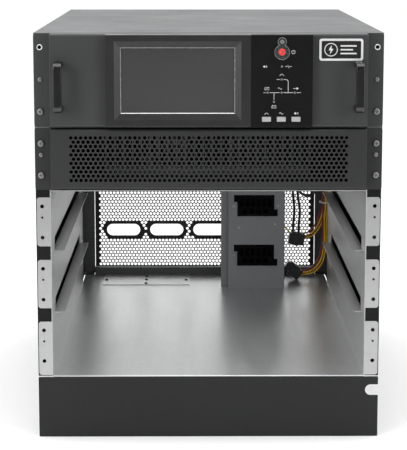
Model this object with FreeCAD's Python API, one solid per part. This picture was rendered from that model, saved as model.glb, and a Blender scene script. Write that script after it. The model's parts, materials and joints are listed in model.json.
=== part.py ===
# Rackmount UPS cabinet, 13 rack units high: a 3U display module, a 2U static-bypass module, three empty 2U
# power-module bays and a 2U base. Millimetres. X runs across the front to the right, Y to the rear, Z up.
# While a piece is being made, Y = 0 is the front face of the cabinet's own rack ears; export() then centres
# the whole object on the origin, standing on Z = 0.
import FreeCAD, Part
import math
import os

os.makedirs("parts", exist_ok=True)
V = FreeCAD.Vector

# ---- driving dimensions -------------------------------------------------------------------------------
WIDTH = 482.6            # over the rack ears, the 19 inch standard
DEPTH = 700.0            # ear face to the outside of the rear sheet
UNIT = 44.45             # one rack unit
TOP_RELIEF = 2.85        # the cabinet is this much under thirteen whole units
SHEET = 1.5              # cabinet sheet metal
MODULE_SHEET = 2.0       # module front panels
CASE_SHEET = 1.2         # module cases
EAR = 21.3               # ear width beside the bay opening
EAR_TRIM = 1.3           # the galvanised ears stop this far inside the skin
EAR_HOLE_INSET = 8.75    # hole centre line from the outer edge
EAR_HOLE_R = 2.7
EAR_SMALL_R = 1.6
EAR_SMALL_DROP = 15.9    # small hole below the upper large one of each bay
EAR_NOTCH = 19.5         # height of the notch between ear segments
EAR_CORNER = 4.0
TOP_HOLE_DROP = 19.5     # first ear hole below the top
RACK_HOLE_R = 3.3
TOUCH = 0.3              # gap between pieces of different bodies
MODULE_GAP = 2.0         # module side to bay wall
PROUD = 20.0             # module face ahead of the ears
BEVEL = 3.7              # bend radius along the module faces' long edges
CORNER_SOFT = 0.7        # softened upright edges of the module faces

SHELF_WIDTH = 15.0
SHELF_DROP = 2.1         # shelf top below the bay boundary
SHELF_FRONT = 30.0
SHELF_REAR = 550.0
SHELF_SLOT = 16.0        # height of the slot that each shelf is bent out of
SLOT_FRONT = 50.0
SHELF_CHAMFER = 10.0
WALL_REAR = 625.0
RETURN = 12.0            # inward folds of the side panels

NOTCH_HEIGHT = 15.9      # rack notch at the right of the bottom panel
NOTCH_DEPTH = 18.4
NOTCH_Z = 68.0

POST_WIDTH_LEFT = 21.0
POST_WIDTH_RIGHT = 25.0
POST_INNER = 202.5       # inner edge of the rear posts
POST_FOLD = 70.0
FOOT_HEIGHT = 63.0
RAIL_HEIGHT = 14.0
RAIL_DEPTH = 16.0
PANEL_SLIT = 1.0         # light gap between the rear panel and the posts
MESH_TOP_GAP = 2.0
MESH_PITCH = 6.4
MESH_HOLE_R = 2.55
MESH_MARGIN = 6.5
SLOT_COUNT = 4           # long cable slots in the rear panel
SLOT_PITCH = 79.5
SLOT_LENGTH = 61.2
SLOT_HEIGHT = 21.7
SLOT_RIM = 5.0
VENT_ROWS = 6            # vents of the third bay in the upper rear panel
VENT_COLUMNS = 8
VENT_RISE = 11.0
VENT_PITCH = 46.0
VENT_LENGTH = 38.0
VENT_HEIGHT = 5.0
CABLE_SLOT_RISE = 82.1   # slot centre above the bay floor
CABLE_SLOT_SHIFT = -30.3

BRACKET_LEFT = 40.0      # backplane bracket
BRACKET_WIDTH = 100.0
BRACKET_FACE = 571.6
BRACKET_FLANGE = 12.0
BRACKET_SETBACK = 13.0
BRACKET_SIDE = 68.0
WINDOW_CENTRE = 89.0     # window centre across the bracket, from the cabinet's middle
WINDOW_WIDTH = 71.2
WINDOW_HEIGHT = 38.2
WINDOW_STEP = 5.8
WINDOW_RISE = 59.2       # window centre above the bay's floor line
CONNECTOR_CLEAR = 1.2

PERF_PITCH = 6.78        # bypass face perforation
PERF_ROW = 5.92
PERF_ROWS = 11
PERF_COLUMNS = 57
PERF_HOLE_R = 2.4
BYPASS_DEPTH = 560.0
DISPLAY_DEPTH = 320.0
BYPASS_FOOT_GAP = 4.4    # bypass panel above its unit line

CENTRE_LEFT = -141.2     # raised centre unit of the display module
CENTRE_SPLIT = 57.6
CENTRE_RIGHT = 141.6
CENTRE_PROUD = 10.0
CENTRE_EDGE = 2.0
CENTRE_LOW = 1.4         # lower edge above the module's lower edge
LCD_X = -42.5
LCD_DROP = 63.6          # middle of the window below the top of the cabinet
LCD_OUTER = (173.5, 107.7)
LCD_INNER = (157.0, 90.7)
LCD_SLOPE = 4.0
LCD_STEP = 2.5
GLASS = 2.0
GLASS_LAP = 1.5

BUTTON_SIZE = (12.2, 6.6)
BUTTON_CLEAR = 0.25
BUTTON_PROUD = 1.2
BUTTON_TRAVEL = 1.0
BUTTON_FLANGE = 1.0
BUTTON_PLACES = ((78.8, 116.1), (99.0, 116.1), (119.2, 116.1))   # x, below the top
LAMP_R = 1.5
LAMP_PLACES = ((99.4, 44.0), (99.4, 61.6), (80.1, 79.6), (99.4, 79.6), (117.2, 79.6), (88.9, 92.2))
STOP_X = 99.4
STOP_DROP = 24.2
STOP_R = 4.8
STOP_COLLAR_R = 7.0
STOP_CLEAR = 0.15
STOP_TRAVEL = 2.5
COVER_R = 10.3
COVER_SHEET = 1.2
COVER_LOBE_R = 6.0
COVER_RISE = 14.1        # pivot above the stop button
PIVOT_R = 1.6
PIVOT_CLEAR = 0.06

BADGE_SIZE = (60.0, 30.1)
BADGE_INSET = 9.2        # badge edge from the bay opening's edge
BADGE_DROP = 21.75
BADGE_BORDER = 3.0
BADGE_THICK = 1.6
HANDLE_INSET = 15.0      # bar centre from the bay opening's edge
HANDLE_WIDTH = 11.2
HANDLE_LENGTH = 68.4
HANDLE_REACH = 30.0
HANDLE_BAR = 8.0
HANDLE_BEND = 9.0
HANDLE_DROP = 71.8       # handle middle below the top

FAN_SIZE = 80.0
FAN_DEPTH = 25.0
FAN_X = 70.0
FAN_BORE_R = 37.5
FAN_TIP_GAP = 1.5
FAN_HUB_R = 16.0
FAN_BLADES = 7
FAN_SCREW = 35.75        # screw centre from the fan's middle
CARD_SLOTS = (-95.0, 95.0)

FLOOR_PLATE_X = (-183.0, -28.0)
FLOOR_PLATE_FRONT = 596.0
FLOOR_SCREWS = ((-178, 632), (-34, 632), (-106, 604), (-106, 634), (-106, 662), (52, 592), (128, 592))
HARNESS_OPENING_X = (145.0, 213.0)     # opening of the bypass shelf that the harness comes through
HARNESS_OPENING_Y = (633.0, 673.0)

WIRE_R = 1.3
CABLE_R = 2.2

# ---- sizes that follow ---------------------------------------------------------------------------------
HEIGHT = 13 * UNIT - TOP_RELIEF
SKIN = WIDTH / 2                       # outer face of skin and ears
BAY = SKIN - EAR                       # inner face of the bay walls
FLOOR = 2 * UNIT                       # top of the bay floor
BAY_LINES = [FLOOR + 2 * UNIT * n for n in range(4)]
BYPASS_LINE = BAY_LINES[3]
DISPLAY_LINE = BYPASS_LINE + 2 * UNIT
ROOF = HEIGHT - SHEET                  # underside of the top cover
HOLE_X = SKIN - EAR_HOLE_INSET
MODULE = BAY - MODULE_GAP              # half width of a module
POST_OUTER = BAY + 3.0
FACE_Y = -PROUD
CENTRE_Y = FACE_Y - CENTRE_PROUD
HANDLE_Y = FACE_Y - HANDLE_REACH
SCREW_PROUD = 1.8
MIDDLE_Y = (HANDLE_Y + DEPTH + SCREW_PROUD) / 2
EAR_BACK = -TOUCH                      # rear face of the module ears
EAR_FRONT = EAR_BACK - MODULE_SHEET
DISPLAY_Z = (DISPLAY_LINE + 2.0, HEIGHT - 0.5)
DISPLAY_EAR_Z = (DISPLAY_LINE + 0.6, HEIGHT - 0.3)
BYPASS_Z = (BYPASS_LINE + BYPASS_FOOT_GAP, DISPLAY_LINE - 0.6)
BYPASS_EAR_Z = (BYPASS_LINE + 1.4, DISPLAY_LINE - 0.7)
CENTRE_Z = (DISPLAY_Z[0] + CENTRE_LOW, HEIGHT - 0.7)
COVER_FRONT = CENTRE_Y - 4.4


def hole_z(index):
    """Height of one of the rack holes, counted down from the top."""
    return HEIGHT - TOP_HOLE_DROP - UNIT * index


# ---- helpers -------------------------------------------------------------------------------------------
def box(x, y, z):
    """A block from three (low, high) pairs."""
    return Part.makeBox(x[1] - x[0], y[1] - y[0], z[1] - z[0], V(x[0], y[0], z[0]))


def rod(x, z, y, radius):
    """A round bar along Y."""
    return Part.makeCylinder(radius, y[1] - y[0], V(x, y[0], z), V(0, 1, 0))


def fuse(pieces):
    """One solid from touching pieces."""
    whole = pieces[0]
    if len(pieces) > 1:
        whole = whole.multiFuse(pieces[1:])
    return whole.removeSplitter()


def mirrored(shape):
    """The same piece on the other side of the cabinet."""
    return shape.mirror(V(0, 0, 0), V(1, 0, 0))


def front_polygon(points, y):
    """A plate in the front plane from its outline, y = (front, rear)."""
    corners = [V(x, y[0], z) for x, z in points]
    face = Part.Face(Part.makePolygon(corners + corners[:1]))
    return face.extrude(V(0, y[1] - y[0], 0))


def rounded_plate(x, y, z, radius):
    """A plate in the front plane with four round corners."""
    plate = box(x, y, z)
    return plate.makeFillet(radius, [edge for edge in plate.Edges if along(edge, V(0, 1, 0))])


def along(edge, direction):
    """True for a straight edge that runs along the direction."""
    if len(edge.Vertexes) != 2:
        return False
    run = edge.Vertexes[1].Point.sub(edge.Vertexes[0].Point)
    return run.cross(direction).Length < 1e-6


def obround(x, z, y, length, height):
    """A long slot with round ends, along X."""
    half = (length - height) / 2
    middle = box((x - half, x + half), y, (z - height / 2, z + height / 2))
    return fuse([middle, rod(x - half, z, y, height / 2), rod(x + half, z, y, height / 2)])


def perforated(x, z, y, centres, radius, slots=()):
    """A flat sheet with many round holes and a few long ones, made as one face and then thickened.

    The hole wires run the other way round from the outline, so that the face leaves them open.
    """
    corners = [V(x[0], y[0], z[0]), V(x[1], y[0], z[0]), V(x[1], y[0], z[1]), V(x[0], y[0], z[1])]
    outline = Part.makePolygon(corners + corners[:1])
    wires = [outline]
    for cx, cz in centres:
        wires.append(Part.Wire(Part.makeCircle(radius, V(cx, y[0], cz), V(0, 1, 0))))
    for cx, cz, length, height in slots:
        half = (length - height) / 2
        rise = V(0, 0, height / 2)
        right = V(cx + half, y[0], cz)
        left = V(cx - half, y[0], cz)
        reach = V(height / 2, 0, 0)
        edges = [
            Part.LineSegment(left.add(rise), right.add(rise)).toShape(),
            Part.Arc(right.add(rise), right.add(reach), right.sub(rise)).toShape(),
            Part.LineSegment(right.sub(rise), left.sub(rise)).toShape(),
            Part.Arc(left.sub(rise), left.sub(reach), left.add(rise)).toShape(),
        ]
        wires.append(Part.Wire(edges))
    return Part.Face(wires).extrude(V(0, y[1] - y[0], 0))


def hex_centres(x, z, pitch, keep_out):
    """Hole centres in a triangular pattern, left out where keep_out says so."""
    row_rise = pitch * math.sqrt(3) / 2
    rows = int((z[1] - z[0]) / row_rise) + 1
    columns = int((x[1] - x[0]) / pitch) + 1
    start = (x[0] + x[1] - (columns - 1) * pitch) / 2
    centres = []
    for row in range(rows):
        shift = pitch / 2 if row % 2 else 0
        for column in range(columns - row % 2):
            place = (start + shift + column * pitch, z[0] + row * row_rise)
            if not keep_out(*place):
                centres.append(place)
    return centres


def cross_screw(x, z, face, head_r, head, shank_r, shank):
    """A pan-head cross-recess screw driven towards +Y; face is the plane that its head sits on."""
    body = fuse([
        rod(x, z, (face - head, face), head_r),
        rod(x, z, (face, face + shank), shank_r),
    ])
    rim = [edge for edge in body.Edges if abs(edge.BoundBox.YMax - (face - head)) < 1e-6]
    body = body.makeFillet(head * 0.45, rim)
    arm = head_r * 0.6
    slit = head_r * 0.14
    bottom = face - head * 0.35
    front = face - head - 1
    body = body.cut(box((x - arm, x + arm), (front, bottom), (z - slit, z + slit)))
    return body.cut(box((x - slit, x + slit), (front, bottom), (z - arm, z + arm)))


def rear_screw(x, z, face, head_r, head, shank_r, shank):
    """The same screw driven forwards, from behind the cabinet."""
    screw = cross_screw(x, z, 0, head_r, head, shank_r, shank)
    screw = screw.mirror(V(0, 0, 0), V(0, 1, 0))
    screw.translate(V(0, face, 0))
    return screw


def top_screw(x, y, face, head_r, head, shank_r, shank):
    """A screw driven downwards into a flat sheet; face is the height that its head sits on."""
    screw = cross_screw(0, 0, 0, head_r, head, shank_r, shank)
    screw.rotate(V(0, 0, 0), V(1, 0, 0), -90)
    screw.translate(V(x, y, face))
    return screw


def wire(points, radius):
    """A wire along straight runs joined by tangent arcs, each arc as large as its runs allow."""
    stops = [V(*point) for point in points]
    edges = []
    length = 0
    here = stops[0]
    for before, corner, after in zip(stops, stops[1:], stops[2:]):
        back = before.sub(corner)
        ahead = after.sub(corner)
        turn = math.pi - back.getAngle(ahead)
        bend = 0.45 * min(back.Length, ahead.Length) / math.tan(turn / 2)
        reach = bend * math.tan(turn / 2)
        back.normalize()
        ahead.normalize()
        entry = corner.add(V(back).multiply(reach))
        leave = corner.add(V(ahead).multiply(reach))
        inward = back.add(ahead).normalize()
        centre = corner.add(V(inward).multiply(bend / math.cos(turn / 2)))
        middle = centre.sub(V(inward).multiply(bend))
        edges.append(Part.LineSegment(here, entry).toShape())
        edges.append(Part.Arc(entry, middle, leave).toShape())
        length += here.distanceToPoint(entry) + bend * turn
        here = leave
        print("bend radius", round(bend, 1), "for a wire of radius", radius)
    edges.append(Part.LineSegment(here, stops[-1]).toShape())
    length += here.distanceToPoint(stops[-1])
    start = stops[1].sub(stops[0])
    ring = Part.Wire(Part.makeCircle(radius, stops[0], start))
    tube = Part.Wire(edges).makePipeShell([ring], True, True)
    ratio = tube.Volume / (length * math.pi * radius ** 2)
    print("wire length", round(length, 1), "volume ratio", round(ratio, 4))
    return tube


def offset_route(points, step):
    """The same route, moved sideways for the next wire of a bundle."""
    return [(x + step[0], y + step[1], z + step[2]) for x, y, z in points]


made = []


def export(name, shape):
    """Centre a finished piece on the object's origin and write it."""
    piece = shape.copy()
    piece.translate(V(0, -MIDDLE_Y, 0))
    piece.exportStep("parts/" + name + ".step")
    made.append(name)
    print(name, len(piece.Solids), "solid(s)", round(piece.Volume / 1000, 1), "cm3")


def group(pieces):
    """Identical pieces that share one node."""
    return Part.makeCompound(pieces)


# ---- cabinet -------------------------------------------------------------------------------------------
def ear_holes(y):
    """Cutters for every rack hole on both sides, large and small."""
    cutters = []
    for side in (-1, 1):
        for index in range(11):
            radius = RACK_HOLE_R if index == 0 else EAR_HOLE_R
            cutters.append(rod(side * HOLE_X, hole_z(index), y, radius))
        cutters.append(rod(side * HOLE_X, hole_z(3) - EAR_SMALL_DROP, y, EAR_SMALL_R))
        for index in (5, 7, 9):
            cutters.append(rod(side * HOLE_X, hole_z(index) - EAR_SMALL_DROP, y, EAR_SMALL_R))
    return cutters


def top_cover():
    """Flat lid as wide as the ears, folded down at the rear."""
    lid = box((-SKIN, SKIN), (0, DEPTH), (ROOF, HEIGHT))
    lip = box((-POST_OUTER, POST_OUTER), (DEPTH - SHEET, DEPTH), (ROOF - RETURN, ROOF))
    whole = fuse([lid, lip])
    bend = [
        e for e in whole.Edges
        if along(e, V(1, 0, 0)) and e.BoundBox.YMin > DEPTH - 1e-6 and e.BoundBox.ZMin > HEIGHT - 1e-6
    ]
    return whole.makeFillet(SHEET * 0.9, bend)


def side_panel(rear_edge):
    """Right outer skin with its front flange behind the ears and folds top, bottom and rear."""
    skin = box((SKIN - SHEET, SKIN), (SHEET, DEPTH), (FLOOR, ROOF))
    front = box((BAY + SHEET, SKIN), (SHEET, 2 * SHEET), (FLOOR, ROOF))
    rear = box((rear_edge, SKIN), (DEPTH - SHEET, DEPTH), (FLOOR, ROOF))
    top = box((SKIN - RETURN, SKIN - SHEET), (2 * SHEET, DEPTH - SHEET), (ROOF - SHEET, ROOF))
    bottom = box((BAY + SHEET, SKIN - SHEET), (2 * SHEET, DEPTH - SHEET), (FLOOR, FLOOR + SHEET))
    return fuse([skin, front, rear, top, bottom]).cut(ear_holes((0, 4 * SHEET)))


def inner_wall():
    """Right galvanised wall: bent-out ears in four segments, two lanced shelves, a fold at the rear."""
    wall = box((BAY, BAY + SHEET), (0, WALL_REAR), (FLOOR, ROOF - SHEET))
    fold = box((BAY, SKIN - SHEET), (WALL_REAR - SHEET, WALL_REAR), (FLOOR + SHEET, ROOF - SHEET))
    pieces = [wall, fold]
    half_notch = EAR_NOTCH / 2
    edges = [FLOOR + SHEET - half_notch] + BAY_LINES[1:] + [ROOF - SHEET + half_notch]
    for low, high in zip(edges, edges[1:]):
        ear = box((BAY, SKIN - EAR_TRIM), (0, SHEET), (low + half_notch, high - half_notch))
        outer = [e for e in ear.Edges if along(e, V(0, 1, 0)) and e.BoundBox.XMin > SKIN - EAR_TRIM - 1e-6]
        pieces.append(ear.makeFillet(EAR_CORNER, outer))
    for line in BAY_LINES[1:3]:
        pieces.append(shelf(line - SHELF_DROP))
    whole = fuse(pieces)
    bend = [
        e for e in whole.Edges
        if along(e, V(0, 0, 1)) and abs(e.BoundBox.XMin - BAY) < 1e-6 and e.BoundBox.YMax < 1e-6
    ]
    whole = whole.makeFillet(SHEET * 0.9, bend)
    slots = []
    for line in BAY_LINES[1:3]:
        low = line - SHELF_DROP
        slots.append(box((BAY - 1, BAY + 2 * SHEET), (SLOT_FRONT, SHELF_REAR), (low, low + SHELF_SLOT)))
    return whole.cut(slots + ear_holes((-1, 2 * SHEET)))


def shelf(top):
    """One shelf of the right wall, with its front corner cut off."""
    inner = BAY - SHELF_WIDTH
    plan = [
        V(BAY, SHELF_FRONT, top - SHEET),
        V(inner + SHELF_CHAMFER * 0.5, SHELF_FRONT, top - SHEET),
        V(inner, SHELF_FRONT + SHELF_CHAMFER, top - SHEET),
        V(inner, SHELF_REAR, top - SHEET),
        V(BAY, SHELF_REAR, top - SHEET),
    ]
    return Part.Face(Part.makePolygon(plan + plan[:1])).extrude(V(0, 0, SHEET))


def bay_floor():
    """Floor of the bays, rolled over at the front."""
    edge = BAY - TOUCH / 3
    rear = DEPTH - RAIL_DEPTH
    sheet = box((-edge, edge), (SHEET, rear), (FLOOR - SHEET, FLOOR))
    inset = BAY - SHEET - TOUCH
    roll = box((-inset, inset), (SHEET, 2 * SHEET), (FLOOR - RETURN, FLOOR))
    whole = fuse([sheet, roll])
    nose = [
        e for e in whole.Edges
        if along(e, V(1, 0, 0)) and e.BoundBox.YMax < SHEET + 1e-6 and e.BoundBox.ZMin > FLOOR - 1e-6
    ]
    whole = whole.makeFillet(SHEET * 0.9, nose)
    holes = [Part.makeCylinder(1.5, 3 * SHEET, V(x, y, FLOOR - 2 * SHEET)) for x, y in FLOOR_SCREWS]
    return whole.cut(holes)


def module_shelf(line, rear):
    """Sheet between the bay walls that a module stands on."""
    edge = BAY - TOUCH / 3
    return box((-edge, edge), (2 * SHEET, rear), (line - SHEET, line))


def base_tray():
    """Folded tray under the floor, narrower than the ears."""
    rear = DEPTH - SHEET
    roof = FLOOR - SHEET
    outer = box((-BAY, BAY), (SHEET, rear), (0, roof))
    inner = box((-BAY + SHEET, BAY - SHEET), (-SHEET, rear - SHEET), (SHEET, roof + SHEET))
    tray = outer.cut(inner)
    folds = []
    for side in (-1, 1):
        across = sorted((side * (BAY - SHEET), side * (BAY - RETURN)))
        folds.append(box(across, (2 * SHEET, rear - SHEET), (roof - SHEET, roof)))
        folds.append(box(across, (SHEET, 2 * SHEET), (SHEET, FLOOR - RETURN - SHEET)))
    return fuse([tray] + folds)


def bottom_panel():
    """Plain front panel of the base, with one rack notch at the right edge."""
    plate = rounded_plate((-SKIN, SKIN), (0, SHEET), (0, FLOOR - SHEET), 1.2)
    radius = NOTCH_HEIGHT / 2
    inner = SKIN - NOTCH_DEPTH + radius
    notch = fuse([
        box((inner, SKIN + 1), (-1, SHEET + 1), (NOTCH_Z - radius, NOTCH_Z + radius)),
        rod(inner, NOTCH_Z, (-1, SHEET + 1), radius),
    ])
    return plate.cut(notch)


def rear_post(width, side):
    """Upright at the rear corner: a face and a fold that runs forwards."""
    outer = POST_INNER + width
    top = ROOF - RETURN
    low = FLOOR + SHEET
    face = box((POST_INNER, outer), (DEPTH - SHEET, DEPTH), (low, top))
    fold = box((outer - SHEET, outer), (DEPTH - POST_FOLD, DEPTH - SHEET), (low, top))
    post = fuse([face, fold])
    for z in post_screw_heights():
        post = post.cut(rod(POST_INNER + width / 2, z, (DEPTH - 2 * SHEET, DEPTH + 1), 1.6))
    return mirrored(post) if side < 0 else post


def post_screw_heights():
    """Screws up each rear post."""
    low = FLOOR + 30
    high = ROOF - RETURN - 25
    return [low + (high - low) * step / 4 for step in range(5)]


def post_foot(post_width, side):
    """Round-topped foot bracket in front of a rear post."""
    width = POST_WIDTH_LEFT - 2 * SHEET
    left = POST_INNER + SHEET / 2
    middle = left + width / 2
    top = FLOOR + FOOT_HEIGHT - width / 2
    front = DEPTH - 2 * SHEET
    plate = fuse([
        box((left, left + width), (front, front + SHEET), (FLOOR, top)),
        rod(middle, top, (front, front + SHEET), width / 2),
    ])
    toe = box((left, left + width), (DEPTH - RAIL_DEPTH, front), (FLOOR, FLOOR + SHEET))
    foot = fuse([plate, toe])
    for z in post_screw_heights():
        foot = foot.cut(rod(POST_INNER + post_width / 2, z, (front - 1, DEPTH), 1.6))
    return mirrored(foot) if side < 0 else foot


def rear_bottom_rail():
    """Square tube across the rear of the floor."""
    edge = POST_INNER - SHEET / 3
    low = FLOOR - SHEET
    outer = box((-edge, edge), (DEPTH - RAIL_DEPTH, DEPTH), (low, FLOOR + RAIL_HEIGHT))
    inner = box(
        (-edge - 1, edge + 1), (DEPTH - RAIL_DEPTH + SHEET, DEPTH - SHEET),
        (low + SHEET, FLOOR + RAIL_HEIGHT - SHEET))
    return outer.cut(inner)


def cable_slots():
    """Centre x of each long cable slot."""
    return [CABLE_SLOT_SHIFT + SLOT_PITCH * (n - (SLOT_COUNT - 1) / 2) for n in range(SLOT_COUNT)]


def rear_mesh_panel():
    """Perforated sheet behind the two lower bays, with a row of long cable slots."""
    edge = POST_INNER - PANEL_SLIT
    low = FLOOR + RAIL_HEIGHT + TOUCH
    high = BAY_LINES[2] - MESH_TOP_GAP
    slot_z = FLOOR + CABLE_SLOT_RISE
    spare = SLOT_HEIGHT / 2 + SLOT_RIM + MESH_HOLE_R

    def near_slot(x, z):
        for cx in cable_slots():
            beyond = max(0, abs(x - cx) - (SLOT_LENGTH - SLOT_HEIGHT) / 2)
            if math.hypot(beyond, z - slot_z) < spare:
                return True
        return False

    across = (-edge + MESH_MARGIN, edge - MESH_MARGIN)
    centres = hex_centres(across, (low + 3.5, high - 6), MESH_PITCH, near_slot)
    slots = [(cx, slot_z, SLOT_LENGTH, SLOT_HEIGHT) for cx in cable_slots()]
    return perforated((-edge, edge), (low, high), (DEPTH - SHEET, DEPTH), centres, MESH_HOLE_R, slots)


def rear_upper_panel():
    """Sheet over the rest of the rear: vents for the third bay, holes behind the fans, two card slots."""
    edge = POST_INNER - PANEL_SLIT
    low = BAY_LINES[2]
    high = ROOF - RETURN - TOUCH
    reach = FAN_BORE_R - 2 * MESH_HOLE_R

    def off_fan(x, z):
        return min(math.hypot(x - cx, z - fan_z()) for cx in (-FAN_X, FAN_X)) > reach

    field = (-FAN_X - FAN_BORE_R, FAN_X + FAN_BORE_R)
    centres = hex_centres(field, (fan_z() - FAN_BORE_R, fan_z() + FAN_BORE_R), MESH_PITCH, off_fan)
    vents = []
    for row in range(VENT_ROWS):
        z = (BAY_LINES[2] + BAY_LINES[3]) / 2 + (row - (VENT_ROWS - 1) / 2) * VENT_RISE
        for column in range(VENT_COLUMNS):
            vents.append(((column - (VENT_COLUMNS - 1) / 2) * VENT_PITCH, z, VENT_LENGTH, VENT_HEIGHT))
    sheet = perforated((-edge, edge), (low, high), (DEPTH - SHEET, DEPTH), centres, MESH_HOLE_R, vents)
    cutters = []
    for x in CARD_SLOTS:
        cutters.append(box((x - 45, x + 45), (DEPTH - 3, DEPTH + 1), (card_z() - 13, card_z() + 13)))
        for side in (-1, 1):
            cutters.append(rod(x + side * 52, card_z(), (DEPTH - 3, DEPTH + 1), 1.6))
    for x in (-FAN_X, FAN_X):
        for dx in (-1, 1):
            for dz in (-1, 1):
                place = (x + dx * FAN_SCREW, fan_z() + dz * FAN_SCREW)
                cutters.append(rod(place[0], place[1], (DEPTH - 3, DEPTH + 1), 1.6))
    return sheet.cut(cutters)


def card_z():
    """Height of the two communication card slots."""
    return DISPLAY_LINE + 1.3 * UNIT


def card_cover(x):
    """Blank plate over one card slot, screwed from outside."""
    plate = rounded_plate((x - 58, x + 58), (DEPTH, DEPTH + 1.0), (card_z() - 17, card_z() + 17), 2)
    return plate.cut([rod(x + side * 52, card_z(), (DEPTH - 1, DEPTH + 2), 1.6) for side in (-1, 1)])


def rear_screws():
    """All the screws that are driven from behind."""
    screws = []
    for z in post_screw_heights():
        screws.append(rear_screw(POST_INNER + POST_WIDTH_RIGHT / 2, z, DEPTH, 3.2, SCREW_PROUD, 1.5, 4))
        screws.append(rear_screw(-POST_INNER - POST_WIDTH_LEFT / 2, z, DEPTH, 3.2, SCREW_PROUD, 1.5, 4))
    for x in (-FAN_X, FAN_X):
        for dx in (-1, 1):
            for dz in (-1, 1):
                place = (x + dx * FAN_SCREW, fan_z() + dz * FAN_SCREW)
                screws.append(rear_screw(place[0], place[1], DEPTH, 3.2, SCREW_PROUD, 1.5, 8))
    for x in CARD_SLOTS:
        for side in (-1, 1):
            screws.append(rear_screw(x + side * 52, card_z(), DEPTH + 1.0, 2.4, 0.8, 1.5, 4))
    return group(screws)


# ---- fans ----------------------------------------------------------------------------------------------
def fan_z():
    """Height of the fans, in line with the bypass module."""
    return BYPASS_LINE + UNIT


def fan_frame(x):
    """Square fan housing with four struts that carry the motor disc."""
    y = (DEPTH - SHEET - FAN_DEPTH, DEPTH - SHEET)
    half = FAN_SIZE / 2
    z = fan_z()
    shell = rounded_plate((x - half, x + half), y, (z - half, z + half), 4)
    shell = shell.cut(rod(x, z, (y[0] - 1, y[1] + 1), FAN_BORE_R))
    struts = [
        box((x - FAN_BORE_R - 1, x + FAN_BORE_R + 1), (y[0], y[0] + 3), (z - 2, z + 2)),
        box((x - 2, x + 2), (y[0], y[0] + 3), (z - FAN_BORE_R - 1, z + FAN_BORE_R + 1)),
        rod(x, z, (y[0], y[0] + 4), FAN_HUB_R),
        rod(x, z, (y[0] + 4, y[1] - 6), 2.0),
    ]
    screws = [rod(x + dx * FAN_SCREW, z + dz * FAN_SCREW, (y[1] - 10, y[1] + 1), 1.6)
              for dx in (-1, 1) for dz in (-1, 1)]
    return fuse([shell] + struts).cut(screws)


def fan_rotor(x):
    """Seven swept blades on a hub that turns on the frame's pin."""
    y = (DEPTH - SHEET - FAN_DEPTH + 5, DEPTH - SHEET - 2)
    z = fan_z()
    hub = rod(x, z, y, FAN_HUB_R)
    hub = hub.cut(rod(x, z, (y[0] - 1, y[1] - 3), 2.0 + 0.05))
    tip = FAN_BORE_R - FAN_TIP_GAP
    blades = []
    for number in range(FAN_BLADES):
        blade = box((-6, 6), (-0.9, 0.9), (FAN_HUB_R - 2, tip - 1.5))
        blade.rotate(V(0, 0, 0), V(0, 0, 1), 38)
        blade.translate(V(0, (y[0] + y[1]) / 2, 0))
        blade.rotate(V(0, 0, 0), V(0, 1, 0), 360 * number / FAN_BLADES)
        blade.translate(V(x, 0, z))
        blades.append(blade)
    return fuse([hub] + blades)


# ---- bay fittings --------------------------------------------------------------------------------------
def floor_plate():
    """Thin plate screwed to the floor behind the bays."""
    plate = box(FLOOR_PLATE_X, (FLOOR_PLATE_FRONT, DEPTH - RAIL_DEPTH - TOUCH), (FLOOR, FLOOR + SHEET))
    return plate.cut([Part.makeCylinder(1.5, 10, V(x, y, FLOOR - 2)) for x, y in FLOOR_SCREWS])


def floor_screws():
    """Screws of the floor plate and of the bracket's feet."""
    return group([top_screw(x, y, FLOOR + SHEET, 2.8, 1.8, 1.4, 5) for x, y in FLOOR_SCREWS])


def window_outline(middle, grow):
    """Stepped outline of one connector window."""
    half = WINDOW_WIDTH / 2 + WINDOW_STEP / 2 + grow
    rise = WINDOW_HEIGHT / 2 + grow
    left = WINDOW_CENTRE - half
    right = WINDOW_CENTRE + half
    left_step = middle + WINDOW_HEIGHT * 0.17 - grow
    right_step = middle - WINDOW_HEIGHT * 0.17 + grow
    return [
        (left, middle + rise), (right - WINDOW_STEP, middle + rise), (right - WINDOW_STEP, right_step),
        (right, right_step), (right, middle - rise), (left + WINDOW_STEP, middle - rise),
        (left + WINDOW_STEP, left_step), (left, left_step),
    ]


def window_heights():
    """Middle of each bay's connector window."""
    return [line + WINDOW_RISE for line in BAY_LINES[:3]]


def connector_screw_places():
    """Two screws beside each window."""
    reach = WINDOW_WIDTH / 2 + 3.5
    return [(WINDOW_CENTRE + side * reach, z) for z in window_heights() for side in (-1, 1)]


def backplane_bracket():
    """Tall folded bracket that carries one connector for each bay."""
    x = (BRACKET_LEFT, BRACKET_LEFT + BRACKET_WIDTH)
    front = BRACKET_FACE
    top = BYPASS_LINE - SHEET - TOUCH
    z = (FLOOR, top)
    back = front + BRACKET_SETBACK
    pieces = [
        box(x, (front, front + SHEET), z),
        box((x[0], x[0] + SHEET), (front, back + SHEET), z),
        box((x[0] - BRACKET_FLANGE, x[0]), (back, back + SHEET), z),
        box((x[1] - SHEET, x[1]), (front, front + BRACKET_SIDE), z),
        box((x[0] + 4, x[1] - 4), (front, front + 34), (FLOOR, FLOOR + SHEET)),
    ]
    whole = fuse(pieces)
    fold = [
        e for e in whole.Edges
        if along(e, V(0, 0, 1)) and e.BoundBox.YMax < front + 1e-6 and e.Length > (top - FLOOR) * 0.9
    ]
    whole = whole.makeFillet(SHEET * 0.9, fold)
    through = (front - 1, front + SHEET + 1)
    cutters = [front_polygon(window_outline(middle, 0), through) for middle in window_heights()]
    cutters += [rod(px, pz, through, 1.5) for px, pz in connector_screw_places()]
    cutters += [Part.makeCylinder(1.5, 10, V(px, py, FLOOR - 2)) for px, py in FLOOR_SCREWS]
    return whole.cut(cutters)


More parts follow.
